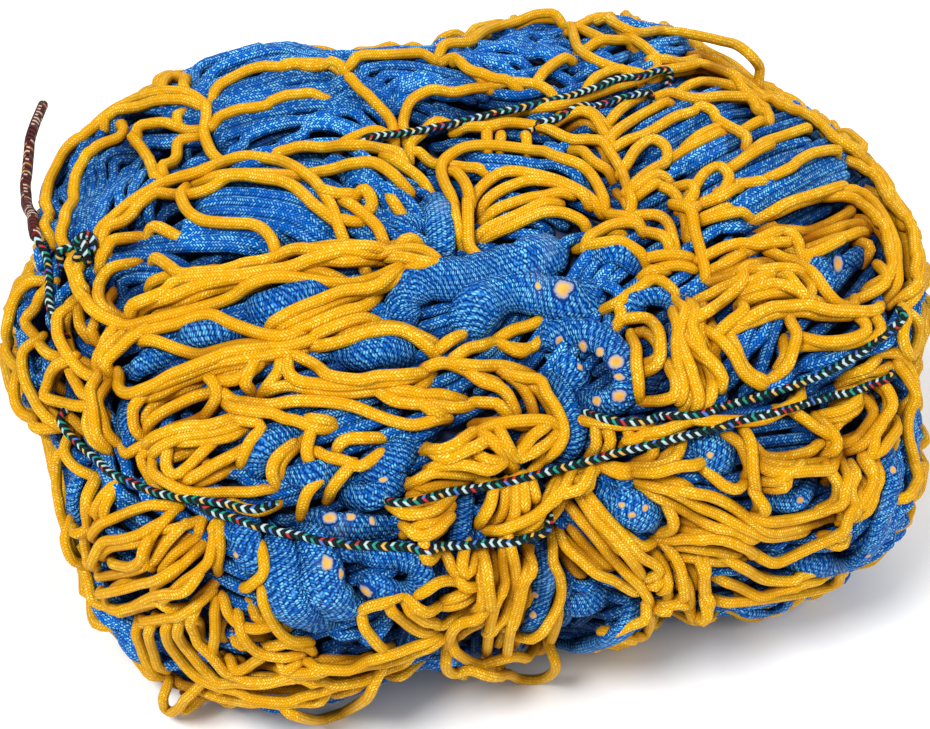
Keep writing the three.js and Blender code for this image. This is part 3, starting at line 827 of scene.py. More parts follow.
YELLOW_CENTRE = (
    "399,386 419,388 429,383",
    "259,395 276,388 293,386 309,390 329,393 353,393 376,390 393,391 409,393",
    "381,388 406,391 423,395 443,395 464,393",
    "283,360 289,371 303,380 318,383 343,385 368,383 393,380 418,375 433,373",
    "288,356 306,360 321,368 339,376 359,380 379,376 401,375 419,371",
    "376,401 393,400 413,403 434,405 456,408 469,405",
    "418,413 439,415 451,421",
    "218,391 233,400 246,402 269,405 293,401 316,401 339,403 359,408 376,415 393,421 413,425 434,421"
    " 448,425",
    "424,365 441,363 456,366 469,372 481,378 495,383 508,388",
    "439,350 449,341 459,336",
    "453,356 466,350 481,346 493,343",
    "226,410 251,411 273,413 283,418 298,421 313,428 326,431 333,425",
    "226,421 251,421 263,426 251,440 243,455 234,466",
    "306,415 319,421 329,426",
    "293,441 283,460 278,471 274,483",
    "281,443 276,458 271,473 272,492",
    "304,438 307,450 306,466",
    "323,456 343,460 356,466 364,465 376,458",
    "333,450 343,441 359,438 376,441",
    "226,506 248,508 263,511 272,508",
    "319,480 309,490 303,504 298,517",
    "343,475 333,487 326,500",
    "498,341 511,331 528,326 543,320",
    "498,341 513,348 531,348 541,341",
    "501,346 520,353 533,350",
    "453,366 478,366 500,366 520,371 540,375",
    "463,378 481,381 496,386 506,393 513,406 518,418",
    "498,373 516,381 526,393 533,408 536,418",
    "526,388 536,388 546,401 553,413 558,426",
    "508,378 525,378 540,380 546,393 556,408 563,425 563,438 556,451 550,461",
    "478,408 495,403 503,410 510,418",
    "463,443 478,431 495,425 520,421 546,421 558,430",
    "473,430 491,440 503,453 510,465",
    "498,430 506,443 513,456 516,465",
    "520,465 525,446 536,433 553,428",
    "526,466 536,451 550,441 561,436",
    "404,493 426,488 451,483 476,481",
    "403,486 418,481 431,473 453,473 473,475 495,476",
    "470,458 491,461 508,466",
    "428,466 446,465 470,466 490,471 503,470",
    "424,456 443,456 463,451 478,446 493,445",
    "423,450 439,448 459,440 473,434",
    "463,250 466,225 470,205 481,188 496,177 516,173 536,175 556,180 573,187 586,195 598,205 606,212",
    "478,222 483,205 498,192 516,185 536,187 556,193 570,200 590,206",
    "481,220 495,210 516,202 536,197 553,197 568,203",
    "478,237 490,227 511,218 528,210 543,203 560,205",
    "486,243 503,230 525,220 541,213 560,212 576,218 591,227 596,234",
    "457,205 458,235 462,258",
    "468,192 468,225 470,248 480,256",
    "447,163 456,172 465,183 470,195",
    "613,210 606,202 600,190 593,178 585,168 576,162 561,158 546,155 528,150 508,147 486,145 466,147"
    " 453,153 444,160 441,170 445,184 451,198",
    "586,423 603,423 620,425 641,425 656,426",
    "600,420 598,435 592,452",
    "615,420 612,437 608,452",
    "632,422 632,436 628,448",
    "650,424 648,436 640,446",
    "650,443 673,435 693,428",
    "650,438 670,428 691,421 710,417",
    "603,311 613,305 628,298",
    "620,328 623,316 626,305",
    "637,330 647,332 653,345 652,360 645,366",
    "633,320 645,318 655,328 660,343 660,360 651,371 640,375",
    "635,338 636,360 638,375 640,393 644,405",
)
YELLOW_UPPER_RIGHT = (
    "520,24 540,19 560,20 567,28",
    "440,52 453,57 470,70 490,82",
    "453,48 466,62 481,72 496,80 508,79 520,82",
    "437,52 445,44 458,43 470,42 481,33 496,27 516,22 533,17 546,14 560,14 570,17",
    "575,53 560,60 546,70 536,80 530,84",
    "578,25 592,34 606,41 598,45 585,45",
    "584,48 603,43 623,40 640,45",
    "568,18 573,33 578,48 591,58 611,67 633,72 653,77",
    "584,92 591,82 603,74 620,71 637,73",
    "488,124 487,134 489,145",
    "503,126 501,136 500,146",
    "530,122 526,134 530,147",
    "555,116 585,117 605,125 615,140",
    "545,124 565,121 590,127 610,139 618,155",
    "575,150 590,158 603,168 612,180",
    "453,131 473,127 486,127 503,123 523,124 543,127 560,135 573,140 586,140 603,147 613,157 621,170"
    " 626,183 631,197 637,210",
    "610,135 622,127 640,116 655,108 668,101 682,95",
    "607,125 613,117 621,109 633,101 650,93 661,88",
    "580,14 598,13 613,23 628,37 643,45 655,58 663,73",
    "657,52 672,62 690,61 703,57",
    "703,43 708,50 720,60 735,69 748,74 760,77 768,82",
    "680,84 700,82 722,84 745,90 765,100 780,112",
    "655,90 672,92 688,98 705,98 722,96 745,98 765,105 778,116",
    "655,76 680,72 705,70 728,76 748,84 768,95 785,104 802,113 820,124 837,140 857,155 873,172"
    " 890,192 902,212 912,232 918,250 920,270 918,288 914,303",
    "645,66 665,70 690,66 705,62 730,68 750,77 770,90 790,100 808,112 825,124 845,142 862,158 880,178"
    " 897,203 908,225",
    "680,145 700,135 720,127 733,122",
    "668,158 680,153 697,145 717,135 735,130",
    "745,128 755,123 767,118 780,120",
    "745,148 763,143 780,137 797,131 818,123",
    "733,165 745,158 758,150 773,142 787,135",
    "775,176 790,168 800,160 815,152 833,149 850,150",
    "735,180 748,183 762,180 772,175",
    "753,224 775,213 795,204 815,198 833,193 846,190",
    "757,218 780,207 800,198 820,192 838,187 852,182",
    "762,232 775,226 790,223",
    "785,225 803,232 822,227 842,217 858,206",
    "805,238 827,232 845,226 862,224 875,227",
    "813,247 830,241 848,236 860,232 877,233",
    "620,142 636,138 650,132 661,125 675,117 695,111 700,105 717,113 730,123 743,133 755,141",
    "850,165 868,180 884,200 896,222 905,245 908,265 906,285 895,303",
    "845,180 862,190 878,208 890,230 897,252 898,275 890,295",
    "840,190 858,200 870,215 880,235 885,250 887,262 877,277 865,289",
    "712,188 722,183",
    "690,197 697,183 705,173 720,166 729,174 728,184 717,196 703,202 692,205",
    "705,205 720,197 735,188 748,181",
    "693,222 710,215 730,207 742,202",
    "705,222 727,214 742,212 757,215",
    "626,170 632,155 641,145 653,139 663,143 668,153 665,163 655,168 642,177 633,187",
    "631,188 645,180 656,175 668,178 680,184",
    "633,197 643,192 656,187 670,190 678,198 683,210 686,223 690,237",
    "613,212 628,218 641,222 652,228",
    "650,207 657,215 668,222 672,235 675,248 680,260",
    "651,223 656,235 665,250 672,258",
    "683,182 694,185 692,198 686,208",
    "705,200 692,210 693,222 698,233",
    "680,200 688,218 695,233 700,250 703,262 707,276 713,288",
)
YELLOW_RIGHT = (
    "583,253 600,243 620,241 633,248 645,256 653,261",
    "578,247 586,240 598,232 611,225 626,223 641,225 653,230",
    "648,258 668,255 688,258",
    "650,268 670,266 690,270",
    "641,276 650,271 660,270 675,272",
    "636,290 648,281 660,281 670,288 681,295",
    "698,300 692,320 686,345 683,370 684,395 686,406",
    "688,300 682,320 676,345 673,370 674,395 676,408",
    "673,366 668,386 660,400 650,406",
    "715,271 727,261 743,255 752,253",
    "710,256 722,248 740,244 757,245 777,242 797,243",
    "720,279 735,276 745,268 753,265 773,265",
    "753,237 773,233 790,233 800,240 807,248 813,258",
    "780,246 783,258 797,261 806,269",
    "810,255 827,248 840,241 857,238",
    "855,300 868,295 880,288 888,278 895,263",
    "740,306 758,296 780,293 800,297 822,306",
    "735,300 750,288 770,284 790,287 807,297 823,304 840,308",
    "740,288 757,278 777,275 795,279 807,291 822,301",
    "750,267 767,269 783,267 800,272 812,285 823,297",
    "807,258 813,271 822,285 832,298 840,305 853,306 867,303",
    "733,336 740,326 757,320 773,314 793,312 813,315 840,316 860,313",
    "737,326 752,316 768,308 787,306 807,305 830,310 853,311 872,311 893,308",
    "803,348 822,345 843,345 860,341 877,333 887,323",
    "802,333 818,341 840,341 857,336 868,326 870,316",
    "787,338 784,352 782,372",
    "795,318 797,333 793,350 788,366 787,379",
    "690,310 686,335 690,360 697,385 700,404",
    "700,300 697,330 703,355 712,380 716,402",
    "690,330 702,346 713,360 722,376 728,394",
    "707,350 717,363 727,380 732,394",
    "707,300 717,290 730,283 750,271",
    "703,325 707,313 720,303 735,290 747,279 760,271",
    "720,341 718,330 727,316 742,305",
    "738,333 737,350 742,364 752,375 767,381 777,385",
    "725,333 728,350 733,366 742,376 755,383 770,387 778,392",
    "843,388 860,381 880,378 893,375",
    "845,381 863,373 880,371 897,366",
    "847,375 863,366 880,356 893,348",
    "883,348 897,353 905,363 912,376 915,393 913,413",
    "905,312 903,330 905,346 911,356 916,346 918,326 913,312",
    "903,363 907,383 910,400 908,416 907,433 912,450 914,468 915,484 910,495 902,505",
    "872,393 875,410 867,425 855,440 843,451",
    "882,380 887,396 887,413 877,428 865,443 850,456",
    "888,378 893,393 897,408 892,425 880,441 870,455 858,466",
    "827,421 847,413 863,406",
    "822,415 840,406 857,400 868,393",
    "820,421 830,433 830,448 822,456",
    "833,425 838,441 835,453 825,461",
    "902,421 893,435 883,450 877,462",
    "750,430 753,443 762,455 777,458 797,455 813,450 825,446",
    "758,458 773,465 793,466 813,463 833,461 852,458",
    "755,461 770,471 790,473 810,471 827,470 843,465",
    "757,483 773,481 790,478 807,474 822,472",
    "757,490 773,489 793,485 807,479",
    "732,437 740,443 745,455 749,470 752,486",
    "747,430 752,448 753,466 755,484 758,502 763,517",
    "713,466 715,478 725,486 740,490 753,487",
    "780,410 797,408 808,405",
    "693,418 710,421 730,421 750,421 767,418 780,411 800,400 807,393",
    "802,420 813,426 832,438",
    "680,445 690,443 695,448",
)
YELLOW_LOWER_RIGHT = (
    "555,490 563,478 578,470 598,466",
    "566,493 575,483 590,476 600,470",
    "580,495 590,488 600,482",
    "606,463 616,473 633,476 641,478",
    "621,466 630,471 638,470",
    "640,460 653,455 663,451",
    "640,470 658,466 673,460 686,450 693,443",
    "641,480 663,471 683,466 703,465",
    "638,486 660,481 678,483 697,492",
    "680,530 700,534 720,535 740,539 755,542",
    "670,560 686,557 703,560 727,561 750,560",
    "663,549 680,546 700,549 723,552 747,557",
    "663,541 680,539 703,540 727,544 747,549 757,556",
    "641,494 661,499 678,507 697,517 713,519 733,529 750,539 767,544",
    "643,485 665,489 683,497 700,507 717,514 733,522 750,530 767,537 787,535 807,530 820,524",
    "680,489 697,494 713,497 730,505 743,515 760,527 773,530 793,527 813,522 830,517",
    "762,494 765,507 770,519",
    "760,519 773,522 793,519 813,514 830,509 840,497",
    "838,475 837,492 833,505 827,512",
    "848,462 848,487 847,504 840,517",
    "860,466 858,494 855,510 847,524",
    "872,463 870,494 865,510 857,524",
    "880,462 883,480 883,495 877,510 867,522",
    "827,545 840,547 853,545 860,540",
    "830,537 847,539 858,534",
    "760,562 773,564 790,557 807,549 823,542 840,534 853,522 863,507 872,492",
    "713,605 735,602 757,600 777,597 797,594 817,590 838,582 856,572",
    "720,580 735,585 750,592 763,594 780,590 800,587 822,585 840,579 856,568",
    "730,567 747,570 763,579 780,580 800,579 823,577 838,573 852,566",
    "705,570 705,587 703,600",
    "685,567 688,587 690,604 693,614",
    "713,570 712,587 710,604 705,617 698,625",
    "690,609 697,624 705,620 710,609",
    "655,545 663,565 668,585 668,605",
    "665,540 677,560 683,580 684,603",
    "646,587 661,584 670,580",
    "648,609 666,605 686,609 696,617",
    "653,613 673,614 688,615",
    "620,524 630,539 643,547 660,550",
    "668,517 673,530 666,540",
    "560,532 576,550 591,565 606,574",
    "553,530 566,547 580,560 596,574 613,580 630,590 641,600",
    "590,499 603,514 618,530 630,544 641,557 656,565 660,574 653,580",
    "580,500 593,517 610,534 623,550 635,565 646,580",
    "570,507 583,522 598,540 611,557 628,574 643,590 653,607",
    "608,652 623,647 641,637 650,624 648,612",
    "610,646 628,635 645,622 650,610",
)
YELLOW_LOWER_MIDDLE = (
    "476,490 495,485 520,480 540,475",
    "480,537 483,520 491,504 496,489",
    "491,537 500,517 506,500 508,487",
    "505,537 513,522 516,505 516,487",
    "525,477 525,492 525,509 526,517",
    "533,480 535,497 536,505",
    "560,475 553,489 546,502 536,512",
    "578,472 566,485 556,500 546,512",
    "595,472 586,484 573,495 561,510",
    "508,537 526,529 540,520 546,514",
    "478,534 503,530 523,522 540,512 553,500 563,489",
    "385,510 405,505 430,500 455,497",
    "392,518 412,515 435,510 453,508",
    "398,530 420,526 440,522 453,520",
    "400,541 425,537 450,533",
    "424,548 428,560 437,550",
    "440,612 455,605 476,600",
    "440,600 455,592 476,590",
    "419,594 434,585 449,580 463,582 476,588",
    "453,575 463,587 476,590",
    "443,549 448,560 454,574 459,584",
    "466,550 462,565 468,575 475,562 474,550",
    "480,550 481,570 483,590 481,607 473,620",
    "485,550 486,567 488,584 490,600 491,617",
    "500,549 503,564 505,580 501,595 495,614 490,629 486,650",
    "513,550 515,567 515,584 510,604 501,625 495,650",
    "525,550 526,567 523,587 518,609 511,629 506,652",
    "533,550 533,567 528,584 525,600 521,617 516,634 515,648",
    "560,597 558,617 553,634 546,647 536,654",
    "550,542 553,560 560,577 561,594 556,610 548,625 538,639 525,647",
    "443,664 448,649 451,634 459,624 470,621 483,620 491,615",
    "453,649 466,659 481,664 503,664 523,659 540,652",
    "356,615 364,609 383,604 399,602",
    "356,622 366,630 376,642 386,652",
    "384,609 399,617 414,629 428,635 438,635",
    "401,605 414,614 428,624 434,626",
    "404,602 419,609 431,615 441,617",
)
YELLOW_LOWER_LEFT = (
    "62,522 65,542 72,560 80,570",
    "83,484 85,507 88,525 84,537 87,554 88,572",
    "67,532 78,534 87,527",
    "93,480 90,497 88,517",
    "107,487 98,505 93,522",
    "117,494 107,510 97,524",
    "220,522 220,542 218,560 213,574",
    "200,517 197,534 193,545",
    "213,520 208,530 205,544",
    "187,522 168,530 160,537",
    "180,534 165,545 155,560 145,570",
    "190,542 175,554 167,564 153,574",
    "197,554 183,564 172,574 158,584 150,594",
    "210,540 210,557 200,570 183,582 170,594 153,605",
    "103,577 120,574 138,569 150,562",
    "107,587 127,582 143,579",
    "100,595 120,590 140,584 157,580 175,567",
    "103,605 123,609 147,600 160,597 175,595 188,589 200,584",
    "103,615 123,614 143,609 160,609 177,607",
    "130,622 143,622 160,619 177,617 190,610 197,600",
    "183,507 167,517 153,534 147,547 143,560 140,574",
    "110,565 127,567 138,562 142,550 145,540",
    "100,560 107,549 123,545 140,542",
    "93,567 95,554 103,542 120,539 138,535 147,530 153,520",
    "93,539 100,525 117,517 137,509 158,504 180,503",
    "132,625 140,644 145,659 153,672 163,682",
    "145,625 150,642 155,657 163,670",
    "197,610 200,627 202,644",
    "212,600 215,617 215,637 213,652 222,662 237,665",
    "210,594 222,605 229,614 236,622 251,629 268,629 276,634",
    "163,685 183,685 207,692 230,699 256,704 276,705 301,702 319,702 329,694",
    "163,625 168,642 177,655 187,667 197,677 213,685 233,690 259,694 284,695 309,695 329,689 351,682"
    " 376,677 386,672",
    "173,622 180,639 190,652 200,665 215,677 233,682 259,685 281,685 306,685 326,679 351,674 379,670"
    " 401,664 419,654",
    "183,617 188,632 198,647 210,662 226,673 251,677 276,682 299,680 323,672 346,665 368,667",
    "281,667 301,669 326,662 351,664 376,664 399,659 426,649 441,647",
    "316,652 339,655 359,659 379,659 399,652 419,645 439,642",
    "226,665 246,665 259,659 268,655",
    "273,667 283,667 293,662 303,659",
    "229,622 241,635 251,647 264,655 281,657 298,659",
    "266,649 281,644 293,644 309,652",
    "259,590 264,605 271,619 281,634 296,644 308,652",
    "259,547 264,560 263,574 251,585 241,592",
)
# Loops that hang clear of the bundle or lie on the floor
YELLOW_LOOSE = (
    "600,15 610,22 620,30 640,33 655,31 670,31 690,34 705,37 722,41 737,45 750,55 760,67 766,79",
    "165,684 163,699 165,709 172,712 180,707 185,699 193,695",
    "276,705 286,712 299,717 319,720 336,715 353,707 368,697 374,685 381,677",
    "444,655 446,668 455,674 466,669 483,675 496,677 508,674 520,679 536,680 550,675 556,665 556,654",
)

# Heights round the middle: six square charts of the distance at which the laid cords end
CHART_CELLS = 260
CANOPY_REACH = 4
NO_SKIN = 60.0


def cell_of(ways):
    """The chart cell that each direction from the middle points into."""
    axis = np.abs(ways).argmax(-1)
    row = np.arange(len(ways))
    main = ways[row, axis]
    wide = np.abs(main)
    cell = axis * 2 + (main > 0)
    for turn in (1, 2):
        place = ((ways[row, (axis + turn) % 3] / wide + 1) * 0.5 * CHART_CELLS).astype(int)
        cell = cell * CHART_CELLS + np.clip(place, 0, CHART_CELLS - 1)
    return cell


def chart_ways():
    """The direction of each cell's middle."""
    mids = (np.arange(CHART_CELLS) + 0.5) / CHART_CELLS * 2 - 1
    u, v = np.meshgrid(mids, mids, indexing="ij")
    ways = []
    for axis in range(3):
        for sign in (-1, 1):
            face = np.zeros((CHART_CELLS, CHART_CELLS, 3))
            face[..., axis] = sign
            face[..., (axis + 1) % 3] = u
            face[..., (axis + 2) % 3] = v
            ways.append(face.reshape(-1, 3))
    return unit(np.concatenate(ways))


CHART_WAYS = chart_ways()


def bundle_heights():
    """How far the bundle's skin is from its middle, for each cell."""
    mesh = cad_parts["net_blue"].data
    mesh.calc_loop_triangles()
    points = [v.co * PER_METRE for v in mesh.vertices]
    faces = [t.vertices[:] for t in mesh.loop_triangles]
    tree = BVHTree.FromPolygons(points, faces)
    middle = Vector(MIDDLE)
    heights = []
    for way in CHART_WAYS:
        hit = tree.ray_cast(middle, Vector(way))
        heights.append(hit[3] if hit[0] is not None else NO_SKIN)
    return np.array(heights)


skin_height = bundle_heights()
first_height = skin_height - FIRST_DEPTH
stack_height = skin_height + STACK_LIMIT

# The bundle's outline in the picture, in dots, where its first layer is drawn in or let out to meet it
OUTLINE = (
    "50,168 62,147 78,130 100,110 116,101 130,97 145,92 160,84 178,76 205,73 235,66 265,58 295,57"
    " 330,66 360,68 400,64 432,64 452,50",
    "590,10 612,15 640,18 668,23 692,30 716,42",
    "66,224 55,246 46,260 37,274 28,290 20,306 12,328",
    "286,702 320,700 345,695 365,688 385,677 400,668 430,655 450,662",
    "72,580 82,618 92,643 105,664 123,684 145,698 172,704",
    "636,640 655,610 685,612 700,618 715,608 744,609 775,606 790,600 805,592 822,587 846,580",
    "926,270 916,310 907,338 901,362 903,385 911,405 919,440 919,470 917,492 905,512 898,528 892,544"
    " 880,562 862,574 840,584",
)

# How the first layer is shaped to it: the cord on it, the most it is drawn in or let out, and the rounds
OUTLINE_CORD = 5.0
DRAW_IN = 18.0
LET_OUT = 13.0
OUTLINE_ROUNDS = 5

# Its steps and faded ends, how near a place has to be, and where the bundle turns away enough to be its rim
OUTLINE_STEP = 4.0
OUTLINE_ENDS = 8.0
OUTLINE_NEAR = 16
LEAST_RATE = 0.45
RIM_FROM = 0.6
RIM_SPAN = 0.3
RIM_FADE = 24.0


def shape_to(outline):
    """Draws the first layer in, or lets it out, so that the cords on it end at an outline."""
    line = dots(spline(places(outline), OUTLINE_STEP))
    along = unit(np.gradient(line, axis=0))
    out = np.stack((-along[:, 1], along[:, 0]), -1)
    out *= np.sign((out * line).sum(1))[:, None]
    spot = FRONT.spot(MIDDLE + CHART_WAYS * skin_height[:, None])
    inside = (spot > line.min(0) - OUTLINE_NEAR) & (spot < line.max(0) + OUTLINE_NEAR)
    rows = np.nonzero(inside.all(1))[0]
    way = CHART_WAYS[rows]
    reach = first_height[rows] + OUTLINE_CORD
    for _ in range(OUTLINE_ROUNDS):
        spot = FRONT.spot(MIDDLE + way * reach[:, None])
        near = ((spot[:, None] - line[None]) ** 2).sum(-1).argmin(1)
        rate = (way @ FRONT.right) * out[near, 0] + (way @ FRONT.up) * out[near, 1]
        past = ((spot - line[near]) * out[near]).sum(1)
        reach = reach - past / np.maximum(rate, LEAST_RATE)
    change = reach - OUTLINE_CORD - first_height[rows]
    rim = np.clip((rate - RIM_FROM) / RIM_SPAN, 0, 1) * np.exp(-((change / RIM_FADE) ** 2))
    change = np.where(change > 0, np.minimum(change, LET_OUT) * rim, np.maximum(change, -DRAW_IN))
    change *= np.clip(from_end(line)[near] / OUTLINE_ENDS, 0, 1)
    first_height[rows] += change
    stack_height[rows] += change


for outline in OUTLINE:
    shape_to(outline)
top_height = first_height.copy()

# Cords near the tail stay under it
TAIL_CLEARANCE = np.linspace(-5, 5, 13)
tail_rel = evened(tail_line, 1.0) - MIDDLE
tail_side = unit(np.cross(np.gradient(tail_rel, axis=0), tail_rel))
for aside in TAIL_CLEARANCE:
    near = tail_rel + tail_side * aside
    np.minimum.at(stack_height, cell_of(near), np.linalg.norm(tail_rel, axis=1) - TAIL_STRING / 2)

# Sight lines: how far before and behind the aim they are followed, the number of steps, and their length
SIGHT_REACH = 330.0
SIGHT_STEPS = 46
STEP_SHARE = 0.65
STEP_LEAST = 0.5
STEP_MOST = 160
SIGHT_FALL = 0.02

# The gaps at which a sight line has arrived, and within which it touches the bundle
ARRIVED = 0.25
TOUCH = 1.0


def meet(outlook, spots, half):
    """Where sight lines through spots rest on the laid cords or the floor, and how far they pass clear."""
    ways = outlook.sight(spots)
    away = np.full(len(ways), outlook.away - SIGHT_REACH)
    best_gap = np.full(len(ways), 1e9)
    best_away = away.copy()
    for _ in range(SIGHT_STEPS):
        at = outlook.eye + ways * away[:, None]
        rel = at - MIDDLE
        gap = np.linalg.norm(rel, axis=1) - top_height[cell_of(rel)] - half
        closer = gap < best_gap
        best_gap = np.where(closer, gap, best_gap)
        best_away = np.where(closer, away, best_away)
        going = (gap > ARRIVED) & (away < outlook.away + SIGHT_REACH) & (at[:, 2] > half)
        away = np.where(going, away + np.clip(gap * STEP_SHARE, STEP_LEAST, STEP_MOST), away)
    fall = np.minimum(ways[:, 2], -SIGHT_FALL)
    floor_away = (half - outlook.eye[2]) / fall
    rel = outlook.eye + ways * floor_away[:, None] - MIDDLE
    floor_gap = np.linalg.norm(rel, axis=1) - top_height[cell_of(rel)] - half
    on_floor = (best_gap > TOUCH) & (floor_gap < FLOOR_LIMIT)
    return ways, np.where(on_floor, floor_away, best_away), best_gap


# Places across a cord where it is set on what is under it, in half thicknesses
SECTION = np.linspace(-0.9, 0.9, 9)

# How near the floor a cord may reach out along it, its least height there, and the most it is pulled in
FLOOR_NEAR = 12
FLOOR_LEAST = 0.05
PULL_IN = 5.0

# How far limits and levels are evened out, and how long a tucked end is: in half thicknesses, and more
LIMIT_EASE = 4.0
LEVEL_EASE = 2.5
TUCK_HALVES = 2.2
TUCK_MORE = 4.0


def settle(line, half, clear, tuck, press, flat=1.0, room=0.0, loose=False):
    """Lets a line of one-millimetre steps rest on what is there already, and adds it to the heights.

    Clear says where the line passes the bundle's edge, tuck how far its ends dip in, in half thicknesses,
    and room how far it may rise over the pile's limit.
    """
    rel = line - MIDDLE
    dist = np.linalg.norm(rel, axis=1)
    out = rel / dist[:, None]
    side = unit(np.cross(np.gradient(line, axis=0), out))
    need = np.zeros(len(line))
    for s in SECTION * half:
        there = top_height[cell_of(rel + side * s)]
        need = np.maximum(need, there + flat * math.sqrt(half * half - s * s))
    need = need - press
    limit = np.where(clear, CLEAR_LIMIT, FREE_LIMIT)
    limit = smooth(np.where(line[:, 2] < half + FLOOR_NEAR, FLOOR_LIMIT, limit), LIMIT_EASE)
    if loose:
        limit = LOOSE_LIMIT
    level = np.clip(dist, need - SINK * half * flat, need + limit)
    level = smooth(level, LEVEL_EASE)
    if not loose:
        highest = stack_height[cell_of(rel)] + room - half * flat
        level = np.minimum(level, np.maximum(highest, level - PULL_IN))
    steps = np.arange(len(line))
    for end, ends_in in ((steps, tuck[0]), (steps[::-1], tuck[1])):
        if ends_in:
            part = np.clip(end / (TUCK_HALVES * half + TUCK_MORE), 0, 1)
            level = level - ends_in * half * flat * (1 - part * part * (3 - 2 * part))
    laid = MIDDLE + out * level[:, None]
    laid[:, 2] = np.maximum(laid[:, 2], half * flat + FLOOR_LEAST)
    rel = laid - MIDDLE
    for s in SECTION * half:
        cells = cell_of(rel + side * s)
        np.maximum.at(top_height, cells, level + flat * math.sqrt(half * half - s * s))
    return laid


def canopy():
    """The heights of the outermost cords round each place, closed over the gaps between them."""
    span = 2 * CANOPY_REACH + 1
    chart = top_height.reshape(6, CHART_CELLS, CHART_CELLS)
    for gather in (np.max, np.mean):
        for axis in (1, 2):
            margin = [(CANOPY_REACH, CANOPY_REACH) if n == axis else (0, 0) for n in range(3)]
            wide = np.pad(chart, margin, "edge")
            chart = gather(sliding_window_view(wide, span, axis), axis=-1)
    return chart.ravel()


chance = np.random.default_rng(41)

# How far apart a cord's rings are, its least length, and how far its thickness varies from cord to cord
RING_STEP = 2.6
LEAST_LINE = 8
CORD_SPREAD = 0.05

# How far a cord trusts a sight line that passes clear, and the steps over which it keeps to the nearest
CLEAR_TRUST = 0.08
NEAR_REACH = 2

# The border rope's lumps, short and long, its creases, and its blunt ends
LUMP_SHORT = 3
LUMP_LONG = 7
CREASE_FIRST = (2, 8)
CREASE_STEP = 8
CREASE_STRAY = 3
CREASE_WIDE = 0.9
CREASE_DEEP = (0.05, 0.16)
BLUNT_LEAST = 0.12


def cast(outlook, spots, half, ease):
    """The line of a cord through spots, resting on what is there, in one-millimetre steps."""
    ways, away, gap = meet(outlook, spots, half)
    trust = np.where(gap < TOUCH, 1.0, CLEAR_TRUST)
    near = sliding_window_view(np.pad(away, NEAR_REACH, "edge"), 2 * NEAR_REACH + 1).min(-1)
    away = smooth(near * trust, ease) / smooth(trust, ease)
    line = outlook.eye + ways * away[:, None]
    return evened(np.concatenate((line, gap[:, None]), 1), 1.0)


def rope_swell(swell, lumps, blunt):
    """The share of its thickness along a rope: swell with lumps and creases, and blunt ends."""
    count = len(swell)
    short = smooth(chance.normal(0, 1, count), LUMP_SHORT)
    swell = swell + lumps * (short + smooth(chance.normal(0, 2, count), LUMP_LONG))
    for crease in np.arange(chance.uniform(*CREASE_FIRST), count, CREASE_STEP):
        near = (np.arange(count) - crease - chance.uniform(-CREASE_STRAY, CREASE_STRAY)) / CREASE_WIDE
        swell = swell - chance.uniform(*CREASE_DEEP) * np.exp(-0.5 * near * near)
    return swell * np.sqrt(blunt * (2 - blunt))


def lay(
    bunch,
    outlook,
    spots,
    half,
    ease=5.0,
    tuck=2.0,
    keep=None,
    press=PRESS,
    flat=1.0,
    sides=8,
    step=RING_STEP,
    lumps=0.0,
    room=1.5,
    loose=False,
):
    """Lays one cord through spots and gathers it into its piece; keep picks the stretch to lay."""
    line = cast(outlook, spots, half * flat, ease)
    if keep is not None:
        line = keep(line)
    if line is None or len(line) < LEAST_LINE:
        return
    clear = line[:, 3] > TOUCH
    laid = evened(settle(line[:, :3], half, clear, (tuck, tuck), press, flat, room, loose), step)
    swell = np.full(len(laid), 1 + CORD_SPREAD * (chance.random() - 0.5))
    if lumps:
        swell = rope_swell(swell, lumps, np.clip(from_end(laid) * step / half, BLUNT_LEAST, 1))
    bunch.tube(laid, half, chance.random(), sides, flat, swell)


# The way the blue hanks run: a place in the picture and the slant there, in degrees
BLUE_FLOW = (
    (95, 190, 74), (115, 240, 30), (230, 80, 20), (320, 60, 3), (400, 70, -8), (460, 90, -22),
    (300, 110, 22), (360, 100, -30), (380, 130, -55), (150, 150, 40), (220, 140, 35), (280, 215, 8),
    (380, 190, -45), (430, 120, 25), (150, 330, 20), (300, 300, 15), (20, 350, 80), (120, 450, -60),
    (200, 560, -30), (330, 580, 20), (330, 440, 15), (400, 470, 30), (460, 600, 85), (560, 100, 20),
    (520, 165, -12), (580, 180, -35), (620, 170, 25), (660, 110, 28), (720, 160, 28), (760, 190, 30),
    (800, 210, 28), (700, 260, 35), (850, 270, 50), (915, 265, 85), (760, 350, 75), (830, 375, 25),
    (700, 430, 10), (790, 440, 5), (895, 470, 85), (700, 560, 10), (820, 550, 20), (560, 300, 60),
    (585, 545, -48), (660, 520, -30), (560, 620, 60), (610, 625, 20),
)

# The same on the low sides, which the picture doesn't show
SIDE_FLOW = (
    (120, 250, 30), (300, 300, 20), (465, 280, -8), (630, 310, -24), (810, 260, -32), (120, 450, 16),
    (300, 480, -26), (465, 500, 14), (630, 470, 30), (810, 450, -18), (300, 600, 14), (630, 600, -16),
)

# How soon a flow turns to the nearest slants or strands: a reach in square dots, and a power
SLANT_NEAR = 900.0
SLANT_POWER = 1.8
STRAND_NEAR = 60.0
STRAND_POWER = 2
STRAND_STEP = 9.0


def flow_past(mids, turns, near, power):
    """The way the nearest cords run at a place in the picture, from their middles and doubled turns."""
    sines, cosines = np.sin(turns), np.cos(turns)

    def direction(spot):
        gap = ((mids - spot) ** 2).sum(1)
        weight = 1 / (gap + near) ** power
        turn = math.atan2((weight * sines).sum(), (weight * cosines).sum()) / 2
        return np.array((math.cos(turn), math.sin(turn)))

    return direction


def slant_flow(table):
    """The flow past a table of slants."""
    table = np.array(table, float)
    return flow_past(table[:, :2], -np.radians(table[:, 2]) * 2, SLANT_NEAR, SLANT_POWER)


